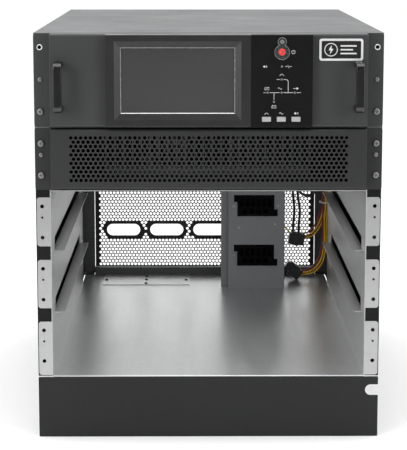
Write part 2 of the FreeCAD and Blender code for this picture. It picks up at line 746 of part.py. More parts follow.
def power_connector(middle):
    """Black blind-mate connector: a flange behind the window, a nose with slots and a body behind."""
    behind = BRACKET_FACE + SHEET
    flange_x = (WINDOW_CENTRE - 46, WINDOW_CENTRE + 46)
    body_x = (WINDOW_CENTRE - 36, WINDOW_CENTRE + 36)
    flange = box(flange_x, (behind, behind + 3), (middle - 24, middle + 24))
    nose = front_polygon(window_outline(middle, -CONNECTOR_CLEAR), (BRACKET_FACE + 0.4, behind))
    body = box(body_x, (behind + 3, behind + 36), (middle - 19, middle + 19))
    whole = fuse([flange, nose, body])
    cutters = []
    front = BRACKET_FACE - 1
    for column in range(6):
        x = WINDOW_CENTRE - 24.5 + column * 9.8
        cutters.append(box((x - 3.2, x + 3.2), (front, behind + 14), (middle - 1.5, middle + 12.5)))
    for column in range(4):
        x = WINDOW_CENTRE - 19 + column * 12
        cutters.append(box((x - 4, x + 4), (front, behind + 14), (middle - 14, middle - 6)))
    for px, pz in connector_screw_places():
        if abs(pz - middle) < 1:
            cutters.append(rod(px, pz, (behind - 1, behind + 4), 1.5))
    return whole.cut(cutters)


def connector_screws():
    """Screws beside the windows."""
    pieces = [cross_screw(x, z, BRACKET_FACE, 2.7, 1.6, 1.4, 4) for x, z in connector_screw_places()]
    return group(pieces)


def harness_block(x, y, z, length, height, tilt):
    """In-line connector of the harness: two halves with a latch ridge."""
    half = length / 2
    body = box((-half, half), (-8, 8), (-height / 2, height / 2))
    body = body.makeFillet(1.5, [e for e in body.Edges if along(e, V(1, 0, 0))])
    ridge = box((-half * 0.25, half * 0.35), (-9.5, 9.5), (-height / 2 - 1.2, height / 2 + 1.2))
    latch = box((-half * 0.7, half * 0.6), (-4, 4), (height / 2, height / 2 + 2.4))
    block = fuse([body, ridge, latch])
    block.rotate(V(0, 0, 0), V(0, 1, 0), tilt)
    block.translate(V(x, y, z))
    return block


WIRE_TOP = BYPASS_LINE + 22.0
UPPER_LINE = (
    (204, 652, WIRE_TOP), (206, 652, 346), (213, 652, 315), (219, 652, 282), (221, 652, 248),
    (219, 652, 216), (211, 651, 188), (198, 650, 169), (180, 650, 163))
LOWER_LINE = (
    (204, 640, WIRE_TOP), (207, 640, 344), (215, 640, 308), (221, 640, 268), (221.5, 640, 228),
    (219, 640, 190), (220, 640, 152), (214, 640, 120), (198, 640, 101), (172, 640, 98))
BLACK_LEFT = (
    (150, 652, WIRE_TOP), (151, 652, 345), (155, 652, 312), (158, 652, 278), (159, 652, 246),
    (162.5, 652, 216), (160, 651, 190), (160, 650, 172))
BLACK_RIGHT = (
    (158, 646, WIRE_TOP), (159, 646, 345), (163, 646, 312), (166, 646, 278), (167, 647, 246),
    (172.5, 648, 214), (170, 649, 190), (170, 650, 173))
LOOP_LINE = (
    (150, 666, WIRE_TOP), (150, 666, 330), (154, 666, 284), (165, 666, 252), (184, 666, 237),
    (203, 666, 246), (211, 666, 276), (210, 666, 320), (205, 666, WIRE_TOP))
STUB_LINE = ((126, 660, 202), (137, 658, 192), (147, 656, 182), (155, 654.5, 172))
# steps from the first wire of a bundle to the next ones
ALONE = (0, 0, 0)
BESIDE = (0, 2 * WIRE_R + 0.1, 0)
WITHIN = (-3.6, 0, 3.6)
INNERMOST = (-7.2, 0, 7.2)
BEHIND = (-1.8, 2.4, 1.8)


def bundle(points, places, radius):
    """Wires side by side along one route."""
    return [wire(offset_route(points, step), radius) for step in places]


def harness_bushing():
    """Rubber edge strip where the wires pass through the bypass shelf."""
    z = (BYPASS_LINE - SHEET - 2, BYPASS_LINE + 2)
    outer = box((142, 216), (630, 676), z)
    groove = box((140, 218), (628, 678), (BYPASS_LINE - SHEET, BYPASS_LINE))
    core = box((145, 213), (633, 673), z)
    hole = box((147.5, 210.5), (635.5, 671.5), (z[0] - 1, z[1] + 1))
    return fuse([outer.cut(groove), core]).cut(hole)


def bypass_shelf():
    """Shelf of the bypass module, full depth, with the harness opening."""
    sheet = module_shelf(BYPASS_LINE, DEPTH - 2 * SHEET - 1)
    through = (BYPASS_LINE - 5, BYPASS_LINE + 5)
    opening = box(HARNESS_OPENING_X, HARNESS_OPENING_Y, through)
    corner = box((POST_INNER - 1, BAY + 1), (WALL_REAR, DEPTH), through)
    rim = (
        (POST_INNER - 2, HARNESS_OPENING_X[1] + 1),
        (WALL_REAR - 1, HARNESS_OPENING_Y[1] + 3),
        (BYPASS_LINE - 6, BYPASS_LINE + 6))
    return sheet.cut([opening, corner.cut(box(*rim)), mirrored(corner)])


def cable_tie(x, y, z, inner_x, inner_y, tilt):
    """Nylon band round a bundle, with its small head."""
    outer = box((-inner_x - 0.9, inner_x + 0.9), (-inner_y - 0.9, inner_y + 0.9), (-1.2, 1.2))
    hollow = box((-inner_x, inner_x), (-inner_y, inner_y), (-2, 2))
    head = box((-inner_x - 4, -inner_x - 0.9), (-2.4, 2.4), (-2, 2))
    tie = fuse([outer.cut(hollow), head])
    tie.rotate(V(0, 0, 0), V(0, 1, 0), tilt)
    tie.translate(V(x, y, z))
    return tie


# ---- module fronts -------------------------------------------------------------------------------------
def module_pan(z):
    """Folded front: a face ahead of the ears, rounded along its long edges, hollow behind."""
    outer = box((-MODULE, MODULE), (FACE_Y, EAR_BACK), z)
    edges = [e for e in outer.Edges if along(e, V(1, 0, 0)) and e.BoundBox.YMax < FACE_Y + 1e-6]
    outer = outer.makeFillet(BEVEL, edges)
    corners = [e for e in outer.Edges if along(e, V(0, 0, 1)) and e.BoundBox.YMax < FACE_Y + 1e-6]
    outer = outer.makeFillet(CORNER_SOFT, corners)
    wall = MODULE_SHEET
    inner = box((-MODULE + wall, MODULE - wall), (FACE_Y + wall, EAR_BACK + 1), (z[0] + wall, z[1] - wall))
    edges = [e for e in inner.Edges if along(e, V(1, 0, 0)) and e.BoundBox.YMax < FACE_Y + wall + 1e-6]
    return outer.cut(inner.makeFillet(BEVEL - wall, edges))


def module_ears(z, holes):
    """The two ears of a module front; holes holds (height, radius) pairs."""
    ears = []
    for side in (-1, 1):
        plate = rounded_plate((MODULE - MODULE_SHEET, SKIN), (EAR_FRONT, EAR_BACK), z, 3.6)
        square = box((MODULE - MODULE_SHEET, MODULE + 1), (EAR_FRONT, EAR_BACK), z)
        plate = fuse([plate, square])
        plate = plate.cut([rod(HOLE_X, height, (EAR_FRONT - 1, 1), radius) for height, radius in holes])
        ears.append(plate if side > 0 else mirrored(plate))
    return ears


def module_case(z, y, rear_opening):
    """Sheet case behind a module front, open at the front where it is riveted inside the pan."""
    wide = MODULE - MODULE_SHEET
    outer = box((-wide, wide), y, z)
    inner = box((-wide + CASE_SHEET, wide - CASE_SHEET), (y[0] - 1, y[1] - CASE_SHEET),
                (z[0] + CASE_SHEET, z[1] - CASE_SHEET))
    case = outer.cut(inner)
    if rear_opening:
        half, low, high = rear_opening
        case = case.cut(box((-half, half), (y[1] - 5, y[1] + 5), (low, high)))
    return case


def display_front_panel():
    """Front of the display module, with the opening behind the raised centre unit."""
    holes = [(hole_z(0), RACK_HOLE_R), (hole_z(1), EAR_HOLE_R), (hole_z(2), EAR_HOLE_R + 0.3)]
    pan = fuse([module_pan(DISPLAY_Z)] + module_ears(DISPLAY_EAR_Z, holes))
    middle = (CENTRE_Z[0] + 6, CENTRE_Z[1] - 6)
    opening = box((CENTRE_LEFT + 6, CENTRE_RIGHT - 6), (FACE_Y - 1, FACE_Y + 5), middle)
    cutters = [opening] + [rod(x, z, (FACE_Y - 1, FACE_Y + 5), 2.1) for x, z in handle_screw_places()]
    return pan.cut(cutters)


def perf_centres():
    """Holes of the bypass face: rows alternate between one more and one less."""
    middle = (BYPASS_Z[0] + BYPASS_Z[1]) / 2 + 0.6
    centres = []
    for row in range(PERF_ROWS):
        count = PERF_COLUMNS - row % 2
        z = middle + (row - (PERF_ROWS - 1) / 2) * PERF_ROW
        for column in range(count):
            centres.append(((column - (count - 1) / 2) * PERF_PITCH, z))
    return centres


def bypass_front_panel():
    """Perforated front of the bypass module."""
    large = EAR_HOLE_R + 0.3
    small = EAR_SMALL_R + 0.3
    holes = [(hole_z(3), large), (hole_z(3) - EAR_SMALL_DROP, small), (hole_z(4), large)]
    pan = fuse([module_pan(BYPASS_Z)] + module_ears(BYPASS_EAR_Z, holes))
    centres = perf_centres()
    half = (PERF_COLUMNS - 1) / 2 * PERF_PITCH + PERF_HOLE_R + 2
    low = centres[0][1] - PERF_HOLE_R - 1.5
    high = centres[-1][1] + PERF_HOLE_R + 1.5
    across = (-half, half)
    thick = (FACE_Y, FACE_Y + MODULE_SHEET)
    frame = pan.cut(box(across, (FACE_Y - 1, FACE_Y + MODULE_SHEET + 1), (low, high)))
    screen = perforated(across, (low, high), thick, centres, PERF_HOLE_R)
    return frame.fuse(screen).removeSplitter()


def display_bezel():
    """Moulded surround of the display: a shallow hood with a sloping window."""
    x = (CENTRE_LEFT, CENTRE_SPLIT - TOUCH / 2)
    shell = hood(x)
    z = HEIGHT - LCD_DROP
    frame = (LCD_OUTER[0] / 2 + 3, LCD_OUTER[1] / 2 + 3)
    deep = (CENTRE_Y + 1, CENTRE_Y + LCD_SLOPE + LCD_STEP + GLASS)
    block = box((LCD_X - frame[0], LCD_X + frame[0]), deep, (z - frame[1], z + frame[1]))
    whole = fuse([shell, block])
    outer = rectangle(LCD_X, CENTRE_Y, z, LCD_OUTER)
    inner = rectangle(LCD_X, CENTRE_Y + LCD_SLOPE, z, LCD_INNER)
    slope = Part.makeLoft([outer, inner], True, True)
    half = (LCD_INNER[0] / 2, LCD_INNER[1] / 2)
    hollow = (CENTRE_Y + 1, FACE_Y + 1)
    through = box((LCD_X - half[0], LCD_X + half[0]), hollow, (z - half[1], z + half[1]))
    return whole.cut([slope, through, glass_block(0)])


def rectangle(x, y, z, size):
    """A rectangle in the front plane, as a wire."""
    half = (size[0] / 2, size[1] / 2)
    corners = [V(x - half[0], y, z - half[1]), V(x + half[0], y, z - half[1]),
               V(x + half[0], y, z + half[1]), V(x - half[0], y, z + half[1])]
    return Part.makePolygon(corners + corners[:1])


def hood(x):
    """A shallow hood on the module face, hollow behind, softened along its front edges."""
    outer = box(x, (CENTRE_Y, FACE_Y), CENTRE_Z)
    edges = [e for e in outer.Edges if along(e, V(1, 0, 0)) and e.BoundBox.YMax < CENTRE_Y + 1e-6]
    outer = outer.makeFillet(CENTRE_EDGE, edges)
    wall = 2.5
    z = (CENTRE_Z[0] + wall, CENTRE_Z[1] - wall)
    inner = box((x[0] + wall, x[1] - wall), (CENTRE_Y + wall, FACE_Y + 1), z)
    return outer.cut(inner)


def glass_block(shrink):
    """Space of the display glass, from behind the window."""
    z = HEIGHT - LCD_DROP
    half = (LCD_INNER[0] / 2 + GLASS_LAP - shrink, LCD_INNER[1] / 2 + GLASS_LAP - shrink)
    front = CENTRE_Y + LCD_SLOPE + LCD_STEP
    return box((LCD_X - half[0], LCD_X + half[0]), (front, front + GLASS), (z - half[1], z + half[1]))


def control_overlay():
    """Dark control panel beside the display, with bores for lamps, buttons and the stop button."""
    panel = hood((CENTRE_SPLIT + TOUCH / 2, CENTRE_RIGHT))
    back = CENTRE_Y + 4
    cutters = [rod(x, HEIGHT - drop, (CENTRE_Y - 1, back), LAMP_R) for x, drop in LAMP_PLACES]
    for x, drop in BUTTON_PLACES:
        half = (BUTTON_SIZE[0] / 2 + BUTTON_CLEAR, BUTTON_SIZE[1] / 2 + BUTTON_CLEAR)
        z = HEIGHT - drop
        cutters.append(box((x - half[0], x + half[0]), (CENTRE_Y - 1, back), (z - half[1], z + half[1])))
    cutters.append(rod(STOP_X, stop_z(), (CENTRE_Y - 1, back), STOP_COLLAR_R))
    cutters.append(rod(STOP_X, stop_z() + COVER_RISE, (CENTRE_Y - 1, back), PIVOT_R))
    return panel.cut(cutters)


def stop_z():
    """Height of the emergency-stop button."""
    return HEIGHT - STOP_DROP


def push_button(x, drop):
    """Key cap with a soft front edge and a flange that keeps it behind the panel."""
    z = HEIGHT - drop
    half = (BUTTON_SIZE[0] / 2, BUTTON_SIZE[1] / 2)
    front = CENTRE_Y - BUTTON_PROUD
    rear = CENTRE_Y + 2.5 + TOUCH
    cap = rounded_plate((x - half[0], x + half[0]), (front, rear), (z - half[1], z + half[1]), 0.8)
    rim = [e for e in cap.Edges if e.BoundBox.YMax < front + 1e-6]
    cap = cap.makeFillet(0.5, rim)
    wide = (half[0] + BUTTON_FLANGE, half[1] + BUTTON_FLANGE)
    flange = box((x - wide[0], x + wide[0]), (rear, rear + 1.2), (z - wide[1], z + wide[1]))
    return fuse([cap, flange])


def status_lamps():
    """Small round light guides."""
    lamps = []
    for x, drop in LAMP_PLACES:
        lamp = rod(x, HEIGHT - drop, (CENTRE_Y - 0.6, CENTRE_Y + 4), LAMP_R)
        tip = [e for e in lamp.Edges if e.BoundBox.YMax < CENTRE_Y - 0.6 + 1e-6]
        lamps.append(lamp.makeFillet(0.5, tip))
    return group(lamps)


def stop_collar():
    """Ring round the stop button."""
    ring = rod(STOP_X, stop_z(), (CENTRE_Y - 1.2, CENTRE_Y + 3), STOP_COLLAR_R)
    ring = ring.cut(rod(STOP_X, stop_z(), (CENTRE_Y - 3, CENTRE_Y + 5), STOP_R + STOP_CLEAR))
    rim = [
        e for e in ring.Edges
        if e.BoundBox.YMax < CENTRE_Y - 1.2 + 1e-6 and e.BoundBox.XLength > 2 * STOP_R + 1
    ]
    return ring.makeFillet(0.6, rim)


def stop_button():
    """Red plunger with a shallow dome and a flange behind its collar."""
    front = CENTRE_Y - 1.6
    back = CENTRE_Y + 3 + TOUCH
    plunger = rod(STOP_X, stop_z(), (front, back), STOP_R)
    rim = [e for e in plunger.Edges if e.BoundBox.YMax < front + 1e-6]
    plunger = plunger.makeFillet(0.9, rim)
    return fuse([plunger, rod(STOP_X, stop_z(), (back, back + 1.0), STOP_R + 1.2)])


def stop_cover():
    """Clear flap shaped like a keyhole: a disc over the button and a lobe on the pivot."""
    y = (COVER_FRONT, COVER_FRONT + COVER_SHEET)
    pivot_z = stop_z() + COVER_RISE
    disc = rod(STOP_X, stop_z(), y, COVER_R)
    lobe = rod(STOP_X, pivot_z, y, COVER_LOBE_R)
    boss = rod(STOP_X, pivot_z, (y[1], CENTRE_Y - TOUCH), COVER_LOBE_R - 1.6)
    whole = fuse([disc, lobe, boss])
    return whole.cut(rod(STOP_X, pivot_z, (y[0] - 1, CENTRE_Y + 1), PIVOT_R + PIVOT_CLEAR))


def cover_pivot():
    """Headed pin that the flap turns on."""
    z = stop_z() + COVER_RISE
    head = COVER_FRONT - TOUCH
    pin = fuse([
        rod(STOP_X, z, (head, CENTRE_Y + 4), PIVOT_R),
        rod(STOP_X, z, (head - 0.9, head), PIVOT_R + 1.2),
    ])
    rim = [e for e in pin.Edges if e.BoundBox.YMax < head - 0.9 + 1e-6]
    return pin.makeFillet(0.4, rim)


def badge_place():
    """Middle of the badge plate."""
    return BAY - BADGE_INSET - BADGE_SIZE[0] / 2, HEIGHT - BADGE_DROP


def badge(border):
    """The bright frame of the badge, or the dark plate inside it."""
    x, z = badge_place()
    half = (BADGE_SIZE[0] / 2, BADGE_SIZE[1] / 2)
    inner = (half[0] - BADGE_BORDER, half[1] - BADGE_BORDER)
    y = (FACE_Y - BADGE_THICK, FACE_Y)
    field = rounded_plate((x - inner[0], x + inner[0]), y, (z - inner[1], z + inner[1]), 2)
    if not border:
        return field.common(box((x - 50, x + 50), (FACE_Y - BADGE_THICK + 0.4, FACE_Y), (z - 30, z + 30)))
    plate = rounded_plate((x - half[0], x + half[0]), y, (z - half[1], z + half[1]), 3.5)
    return plate.cut(field)


def handle_z():
    """Height of the handles' middle."""
    return HEIGHT - HANDLE_DROP


def handle_screw_places():
    """Two screws behind each handle."""
    reach = HANDLE_LENGTH / 2 - HANDLE_BAR / 2
    places = []
    for side in (-1, 1):
        for end in (-1, 1):
            places.append((side * (BAY - HANDLE_INSET), handle_z() + end * reach))
    return places


def handle(side):
    """Flat U-shaped pull with round outer bends."""
    x = side * (BAY - HANDLE_INSET)
    across = (x - HANDLE_WIDTH / 2, x + HANDLE_WIDTH / 2)
    half = HANDLE_LENGTH / 2
    z = handle_z()
    outer = box(across, (HANDLE_Y, FACE_Y), (z - half, z + half))
    bends = [e for e in outer.Edges if along(e, V(1, 0, 0)) and e.BoundBox.YMax < HANDLE_Y + 1e-6]
    outer = outer.makeFillet(HANDLE_BEND, bends)
    reach = half - HANDLE_BAR
    grip_y = HANDLE_Y + HANDLE_BAR
    inner = box((across[0] - 1, across[1] + 1), (grip_y, FACE_Y + 1), (z - reach, z + reach))
    corners = [e for e in inner.Edges if along(e, V(1, 0, 0)) and e.BoundBox.YMax < grip_y + 1e-6]
    grip = outer.cut(inner.makeFillet(3.5, corners))
    sides = [e for e in grip.Edges if e.BoundBox.XLength < 1e-6 and e.BoundBox.YMax < FACE_Y - 1e-6]
    grip = grip.makeFillet(1.0, sides)
    return grip.cut([rod(px, pz, (FACE_Y - 12, FACE_Y + 1), 1.9) for px, pz in handle_screw_places()])


def handle_screws():
    """Screws that hold the handles, driven from inside the panel."""
    back = FACE_Y + MODULE_SHEET
    return group([rear_screw(x, z, back, 3.8, 2.4, 1.8, 11) for x, z in handle_screw_places()])


def ear_screws(large, small):
    """The captive screws of one module, both sides."""
    screws = []
    for side in (-1, 1):
        for z in large:
            screws.append(cross_screw(side * HOLE_X, z, EAR_FRONT, 4.4, 3.0, 2.3, 8))
        for z in small:
            radius = EAR_SMALL_R - 0.3
            screws.append(cross_screw(side * HOLE_X, z, EAR_FRONT, 3.0, 1.9, radius, 7))
    return group(screws)


def bypass_heatsink():
    """Finned block of the static switch."""
    low = BYPASS_Z[0] + MODULE_SHEET + CASE_SHEET
    x = (-150, 150)
    y = (120, 420)
    pieces = [box(x, y, (low, low + 8))]
    fins = 24
    for number in range(fins):
        left = x[0] + (x[1] - x[0] - 2.0) * number / (fins - 1)
        pieces.append(box((left, left + 2.0), y, (low + 8, low + 58)))
    return fuse(pieces)


# ---- make and write everything -------------------------------------------------------------------------
export("top_cover", top_cover())
right_skin = side_panel(POST_INNER + POST_WIDTH_RIGHT + 0.5)
left_skin = mirrored(side_panel(POST_INNER + POST_WIDTH_LEFT + 0.5))
export("left_side_panel", left_skin)
export("right_side_panel", right_skin)
right_wall = inner_wall()
export("left_inner_wall", mirrored(right_wall))
export("right_inner_wall", right_wall)
export("bay_floor", bay_floor())
export("bypass_shelf", bypass_shelf())
export("display_shelf", module_shelf(DISPLAY_LINE, WALL_REAR - 2 * SHEET))
export("base_tray", base_tray())
export("bottom_panel", bottom_panel())
export("left_rear_post", rear_post(POST_WIDTH_LEFT, -1))
export("right_rear_post", rear_post(POST_WIDTH_RIGHT, 1))
export("rear_post_feet", group([post_foot(POST_WIDTH_LEFT, -1), post_foot(POST_WIDTH_RIGHT, 1)]))
export("rear_bottom_rail", rear_bottom_rail())
export("rear_mesh_panel", rear_mesh_panel())
export("rear_upper_panel", rear_upper_panel())
export("card_slot_covers", group([card_cover(x) for x in CARD_SLOTS]))
export("rear_screws", rear_screws())
for label, x in (("left", -FAN_X), ("right", FAN_X)):
    export("fan_frame_" + label, fan_frame(x))
    export("fan_rotor_" + label, fan_rotor(x))
export("floor_plate", floor_plate())
export("floor_screws", floor_screws())
export("backplane_bracket", backplane_bracket())
for number, middle in enumerate(window_heights()):
    export("power_connector_" + str(number + 1), power_connector(middle))
export("connector_screws", connector_screws())
yellow = []
red = []
for line in (UPPER_LINE, LOWER_LINE):
    yellow += bundle(line, [ALONE, WITHIN], WIRE_R)
    red += bundle(line, [INNERMOST, BEHIND], WIRE_R)
yellow += bundle(STUB_LINE, [ALONE, BESIDE], WIRE_R)
export("harness_yellow_wires", group(yellow))
export("harness_red_wires", group(red))
export("harness_black_wires", group([wire(line, CABLE_R) for line in (BLACK_LEFT, BLACK_RIGHT, LOOP_LINE)]))
export("harness_bushing", harness_bushing())
export("harness_connector_upper", harness_block(166, 650, 163, 28, 20, 8))
export("harness_connector_lower", harness_block(159, 641, 107, 33, 19, 38))
export("cable_tie", cable_tie(217.2, 646.6, 231, 6.3, 11.4, 4))

export("display_front_panel", display_front_panel())
display_case_z = (DISPLAY_Z[0] + MODULE_SHEET, DISPLAY_Z[1] - MODULE_SHEET)
export("display_case", module_case(display_case_z, (EAR_BACK - 12, DISPLAY_DEPTH), None))
export("display_bezel", display_bezel())
export("display_glass", glass_block(0.1))
export("control_overlay", control_overlay())
export("status_lamps", status_lamps())
for label, place in zip(("bypass", "inverter", "mute"), BUTTON_PLACES):
    export(label + "_button", push_button(*place))
export("stop_collar", stop_collar())
export("stop_button", stop_button())
export("stop_cover", stop_cover())
export("cover_pivot", cover_pivot())
export("badge_frame", badge(True))
export("badge_plate", badge(False))
export("left_handle", handle(-1))
export("right_handle", handle(1))
export("handle_screws", handle_screws())
export("display_ear_screws", ear_screws([hole_z(2)], [hole_z(1)]))

export("bypass_front_panel", bypass_front_panel())
bypass_case_z = (BYPASS_Z[0] + MODULE_SHEET, BYPASS_Z[1] - MODULE_SHEET)
exhaust = (190, bypass_case_z[0] + 8, bypass_case_z[1] - 8)
export("bypass_case", module_case(bypass_case_z, (EAR_BACK - 12, BYPASS_DEPTH), exhaust))
export("bypass_heatsink", bypass_heatsink())
export("bypass_ear_screws", ear_screws([hole_z(3), hole_z(4)], [hole_z(3) - EAR_SMALL_DROP]))
print(len(made), "nodes; origin is", round(MIDDLE_Y, 3), "behind the ears")
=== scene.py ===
# %% [markdown]
# # A rackmount UPS cabinet
#
# This lesson dresses a thirteen-unit rack UPS cabinet. The sheet metal, the fronts, the handles and
# everything that moves come from the engineering model, so nothing here changes a size. What is left
# is what a paint shop, a plating bath and a label printer do: finishes, printed symbols and a badge.
#
# The frame is loaded first. Its box is kept.

# %% Load the frame
import json
import math

import bmesh
import bpy
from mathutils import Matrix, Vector


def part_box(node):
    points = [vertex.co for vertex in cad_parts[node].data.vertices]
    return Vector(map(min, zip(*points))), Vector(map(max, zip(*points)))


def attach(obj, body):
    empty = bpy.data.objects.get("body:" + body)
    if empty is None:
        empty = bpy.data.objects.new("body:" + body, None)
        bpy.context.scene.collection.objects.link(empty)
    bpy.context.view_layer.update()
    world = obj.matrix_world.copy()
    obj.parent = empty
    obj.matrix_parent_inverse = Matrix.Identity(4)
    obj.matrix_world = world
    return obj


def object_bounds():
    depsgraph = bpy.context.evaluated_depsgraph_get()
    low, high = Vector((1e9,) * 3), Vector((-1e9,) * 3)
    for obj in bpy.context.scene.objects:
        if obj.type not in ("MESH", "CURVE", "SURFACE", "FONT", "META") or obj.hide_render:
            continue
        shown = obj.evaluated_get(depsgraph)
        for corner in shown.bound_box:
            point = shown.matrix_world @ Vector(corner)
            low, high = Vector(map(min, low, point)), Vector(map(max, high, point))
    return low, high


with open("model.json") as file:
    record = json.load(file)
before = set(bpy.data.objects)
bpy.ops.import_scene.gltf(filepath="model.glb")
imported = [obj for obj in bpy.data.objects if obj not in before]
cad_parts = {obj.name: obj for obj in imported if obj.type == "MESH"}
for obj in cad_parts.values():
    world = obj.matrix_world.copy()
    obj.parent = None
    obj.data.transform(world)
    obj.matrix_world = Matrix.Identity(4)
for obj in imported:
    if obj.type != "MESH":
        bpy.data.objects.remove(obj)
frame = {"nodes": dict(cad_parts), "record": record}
cad_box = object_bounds()
nodes = frame["nodes"]
print("nodes in the frame:", len(nodes), "box:", [round(c, 4) for corner in cad_box for c in corner])

# %% [markdown]
# ## Landmarks
#
# Printed symbols sit on faces whose place the frame knows. It is safer to ask the frame for a lamp or a
# key than to type its place again: the symbol then stays beside it when the model changes. A node of
# several solids, such as the six lamps, is split into its separate islands to find each centre.

# %% Find faces, lamps and keys
MM = 0.001


def middle(node):
    """Centre of a node's box."""
    low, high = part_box(node)
    return Vector([(a + b) / 2 for a, b in zip(low, high)])


def island_centres(node):
    """Centre of each separate solid in a node, from top to bottom."""
    mesh = bmesh.new()
    mesh.from_mesh(nodes[node].data)
    bmesh.ops.remove_doubles(mesh, verts=mesh.verts, dist=1e-6)
    waiting = set(mesh.verts)
    centres = []
    while waiting:
        stack = [waiting.pop()]
        island = []
        while stack:
            vert = stack.pop()
            island.append(vert.co.copy())
            for edge in vert.link_edges:
                other = edge.other_vert(vert)
                if other in waiting:
                    waiting.remove(other)
                    stack.append(other)
        low = [min(c[axis] for c in island) for axis in range(3)]
        high = [max(c[axis] for c in island) for axis in range(3)]
        centres.append(Vector([(a + b) / 2 for a, b in zip(low, high)]))
    mesh.free()
    return sorted(centres, key=lambda c: (-round(c.z, 3), c.x))


overlay_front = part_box("control_overlay")[0][1]
lamps = island_centres("status_lamps")
status_lamp, bypass_lamp, rectifier_lamp, inverter_lamp, output_lamp, battery_lamp = lamps
keys = {name: middle(name + "_button") for name in ("bypass", "inverter", "mute")}
stop = middle("stop_button")
badge = middle("badge_plate")
EAR_FACE_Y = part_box("left_inner_wall")[0][1]
print("overlay face at y =", round(overlay_front, 4))
print("lamps:", [tuple(round(c, 3) for c in lamp) for lamp in lamps])

# %% [markdown]
# ## Finishes
#
# Every finish starts from the same idea: a real surface is never one colour. Powder coat has an orange
# peel a millimetre across and drifts a little over a panel. Galvanised sheet has crystals the size of a
# fingertip and rolling marks along its length. So each finish mixes one slow pattern for colour, one for
# gloss and one fine pattern for height.
#
# Object coordinates are used throughout: each piece keeps its origin at the cabinet's own origin, so the
# pattern is in metres and stays put when a module slides out.

# %% A bench for building finishes
class Finish:
    """A node material under construction, with a Principled shader to plug patterns into."""

    def __init__(self, name, roughness, metallic=0.0):
        self.material = bpy.data.materials.new(name)
        self.material.use_nodes = True
        self.tree = self.material.node_tree
        self.shader = self.tree.nodes["Principled BSDF"]
        self.shader.inputs["Roughness"].default_value = roughness
        self.shader.inputs["Metallic"].default_value = metallic
        self.place = self.tree.nodes.new("ShaderNodeTexCoord")

    def stretched(self, scale):
        """Object coordinates, stretched along one or more axes."""
        mapping = self.tree.nodes.new("ShaderNodeMapping")
        mapping.inputs["Scale"].default_value = scale
        self.tree.links.new(self.place.outputs["Object"], mapping.inputs["Vector"])
        return mapping.outputs["Vector"]

    def noise(self, scale, detail=3.0, stretch=(1, 1, 1), distortion=0.0):
        """A cloudy pattern; scale is in repeats per metre."""
        node = self.tree.nodes.new("ShaderNodeTexNoise")
        node.inputs["Scale"].default_value = scale
        node.inputs["Detail"].default_value = detail
        node.inputs["Distortion"].default_value = distortion
        self.tree.links.new(self.stretched(stretch), node.inputs["Vector"])
        return node.outputs["Fac"]

    def crystals(self, scale, stretch=(1, 1, 1)):
        """Flat cells, each of one random shade."""
        node = self.tree.nodes.new("ShaderNodeTexVoronoi")
        node.inputs["Scale"].default_value = scale
        self.tree.links.new(self.stretched(stretch), node.inputs["Vector"])
        grey = self.tree.nodes.new("ShaderNodeRGBToBW")
        self.tree.links.new(node.outputs["Color"], grey.inputs["Color"])
        return grey.outputs["Val"]

    def blend(self, pattern, low, high, start=0.3, end=0.7):
        """A colour between low and high, as the pattern says."""
        ramp = self.tree.nodes.new("ShaderNodeValToRGB")
        ramp.color_ramp.elements[0].position = start
        ramp.color_ramp.elements[1].position = end
        ramp.color_ramp.elements[0].color = (*low, 1)
        ramp.color_ramp.elements[1].color = (*high, 1)
        self.tree.links.new(pattern, ramp.inputs["Fac"])
        return ramp.outputs["Color"]

    def colour(self, output):
        self.tree.links.new(output, self.shader.inputs["Base Color"])

    def gloss(self, pattern, low, high):
        """Roughness that drifts between two values."""
        spread = self.tree.nodes.new("ShaderNodeMapRange")
        spread.inputs["From Min"].default_value = 0.3
        spread.inputs["From Max"].default_value = 0.7
        spread.inputs["To Min"].default_value = low
        spread.inputs["To Max"].default_value = high
        self.tree.links.new(pattern, spread.inputs["Value"])
        self.tree.links.new(spread.outputs["Result"], self.shader.inputs["Roughness"])

    def relief(self, *layers):
        """Height from one or more (pattern, strength, depth) layers, fine on top of coarse."""
        below = None
        for pattern, strength, depth in layers:
            bump = self.tree.nodes.new("ShaderNodeBump")
            bump.inputs["Strength"].default_value = strength
            bump.inputs["Distance"].default_value = depth
            self.tree.links.new(pattern, bump.inputs["Height"])
            if below is not None:
                self.tree.links.new(below, bump.inputs["Normal"])
            below = bump.outputs["Normal"]
        self.tree.links.new(below, self.shader.inputs["Normal"])


def tint(grey, shift=0.0):
    """A near-neutral grey; a positive shift is cooler."""
    return (grey * (1 - shift), grey, grey * (1 + shift))


# %% [markdown]
# ## Powder coat
#
# The skin, fronts and base wear a dark powder coat. Sprayed powder melts into a film with a fine
# texture, a little glossier where it pooled. Two noises make the texture, one of a few millimetres and
# one finer than a millimetre, and one as wide as a hand makes the drift. The skin's coat is darker than
# the fronts', partly painted shade for the recesses between the module ears, where its flange shows. The
# lid gets the same recipe in a lighter grey, a painted highlight for the overhead light on its top.

# %% Powder coats
PANEL_DRIFT = 5.0          # repeats per metre: about a hand's width
ORANGE_PEEL = 240.0
POWDER_GRAIN = 1300.0      # under a millimetre


def powder_coat(name, grey, drift, rough, peel=0.35, shine=0.4):
    finish = Finish(name, rough)
    cloud = finish.noise(PANEL_DRIFT, 4.0)
    finish.colour(finish.blend(cloud, tint(grey * (1 - drift), 0.02), tint(grey * (1 + drift), 0.03)))
    finish.gloss(finish.noise(11.0, 3.0), rough - 0.05, rough + 0.06)
    finish.relief((finish.noise(ORANGE_PEEL, 2.0), 0.10 * peel, 2.0 * MM),
                  (finish.noise(POWDER_GRAIN, 2.0), peel, 0.4 * MM))
    finish.shader.inputs["Specular IOR Level"].default_value = shine
    return finish.material
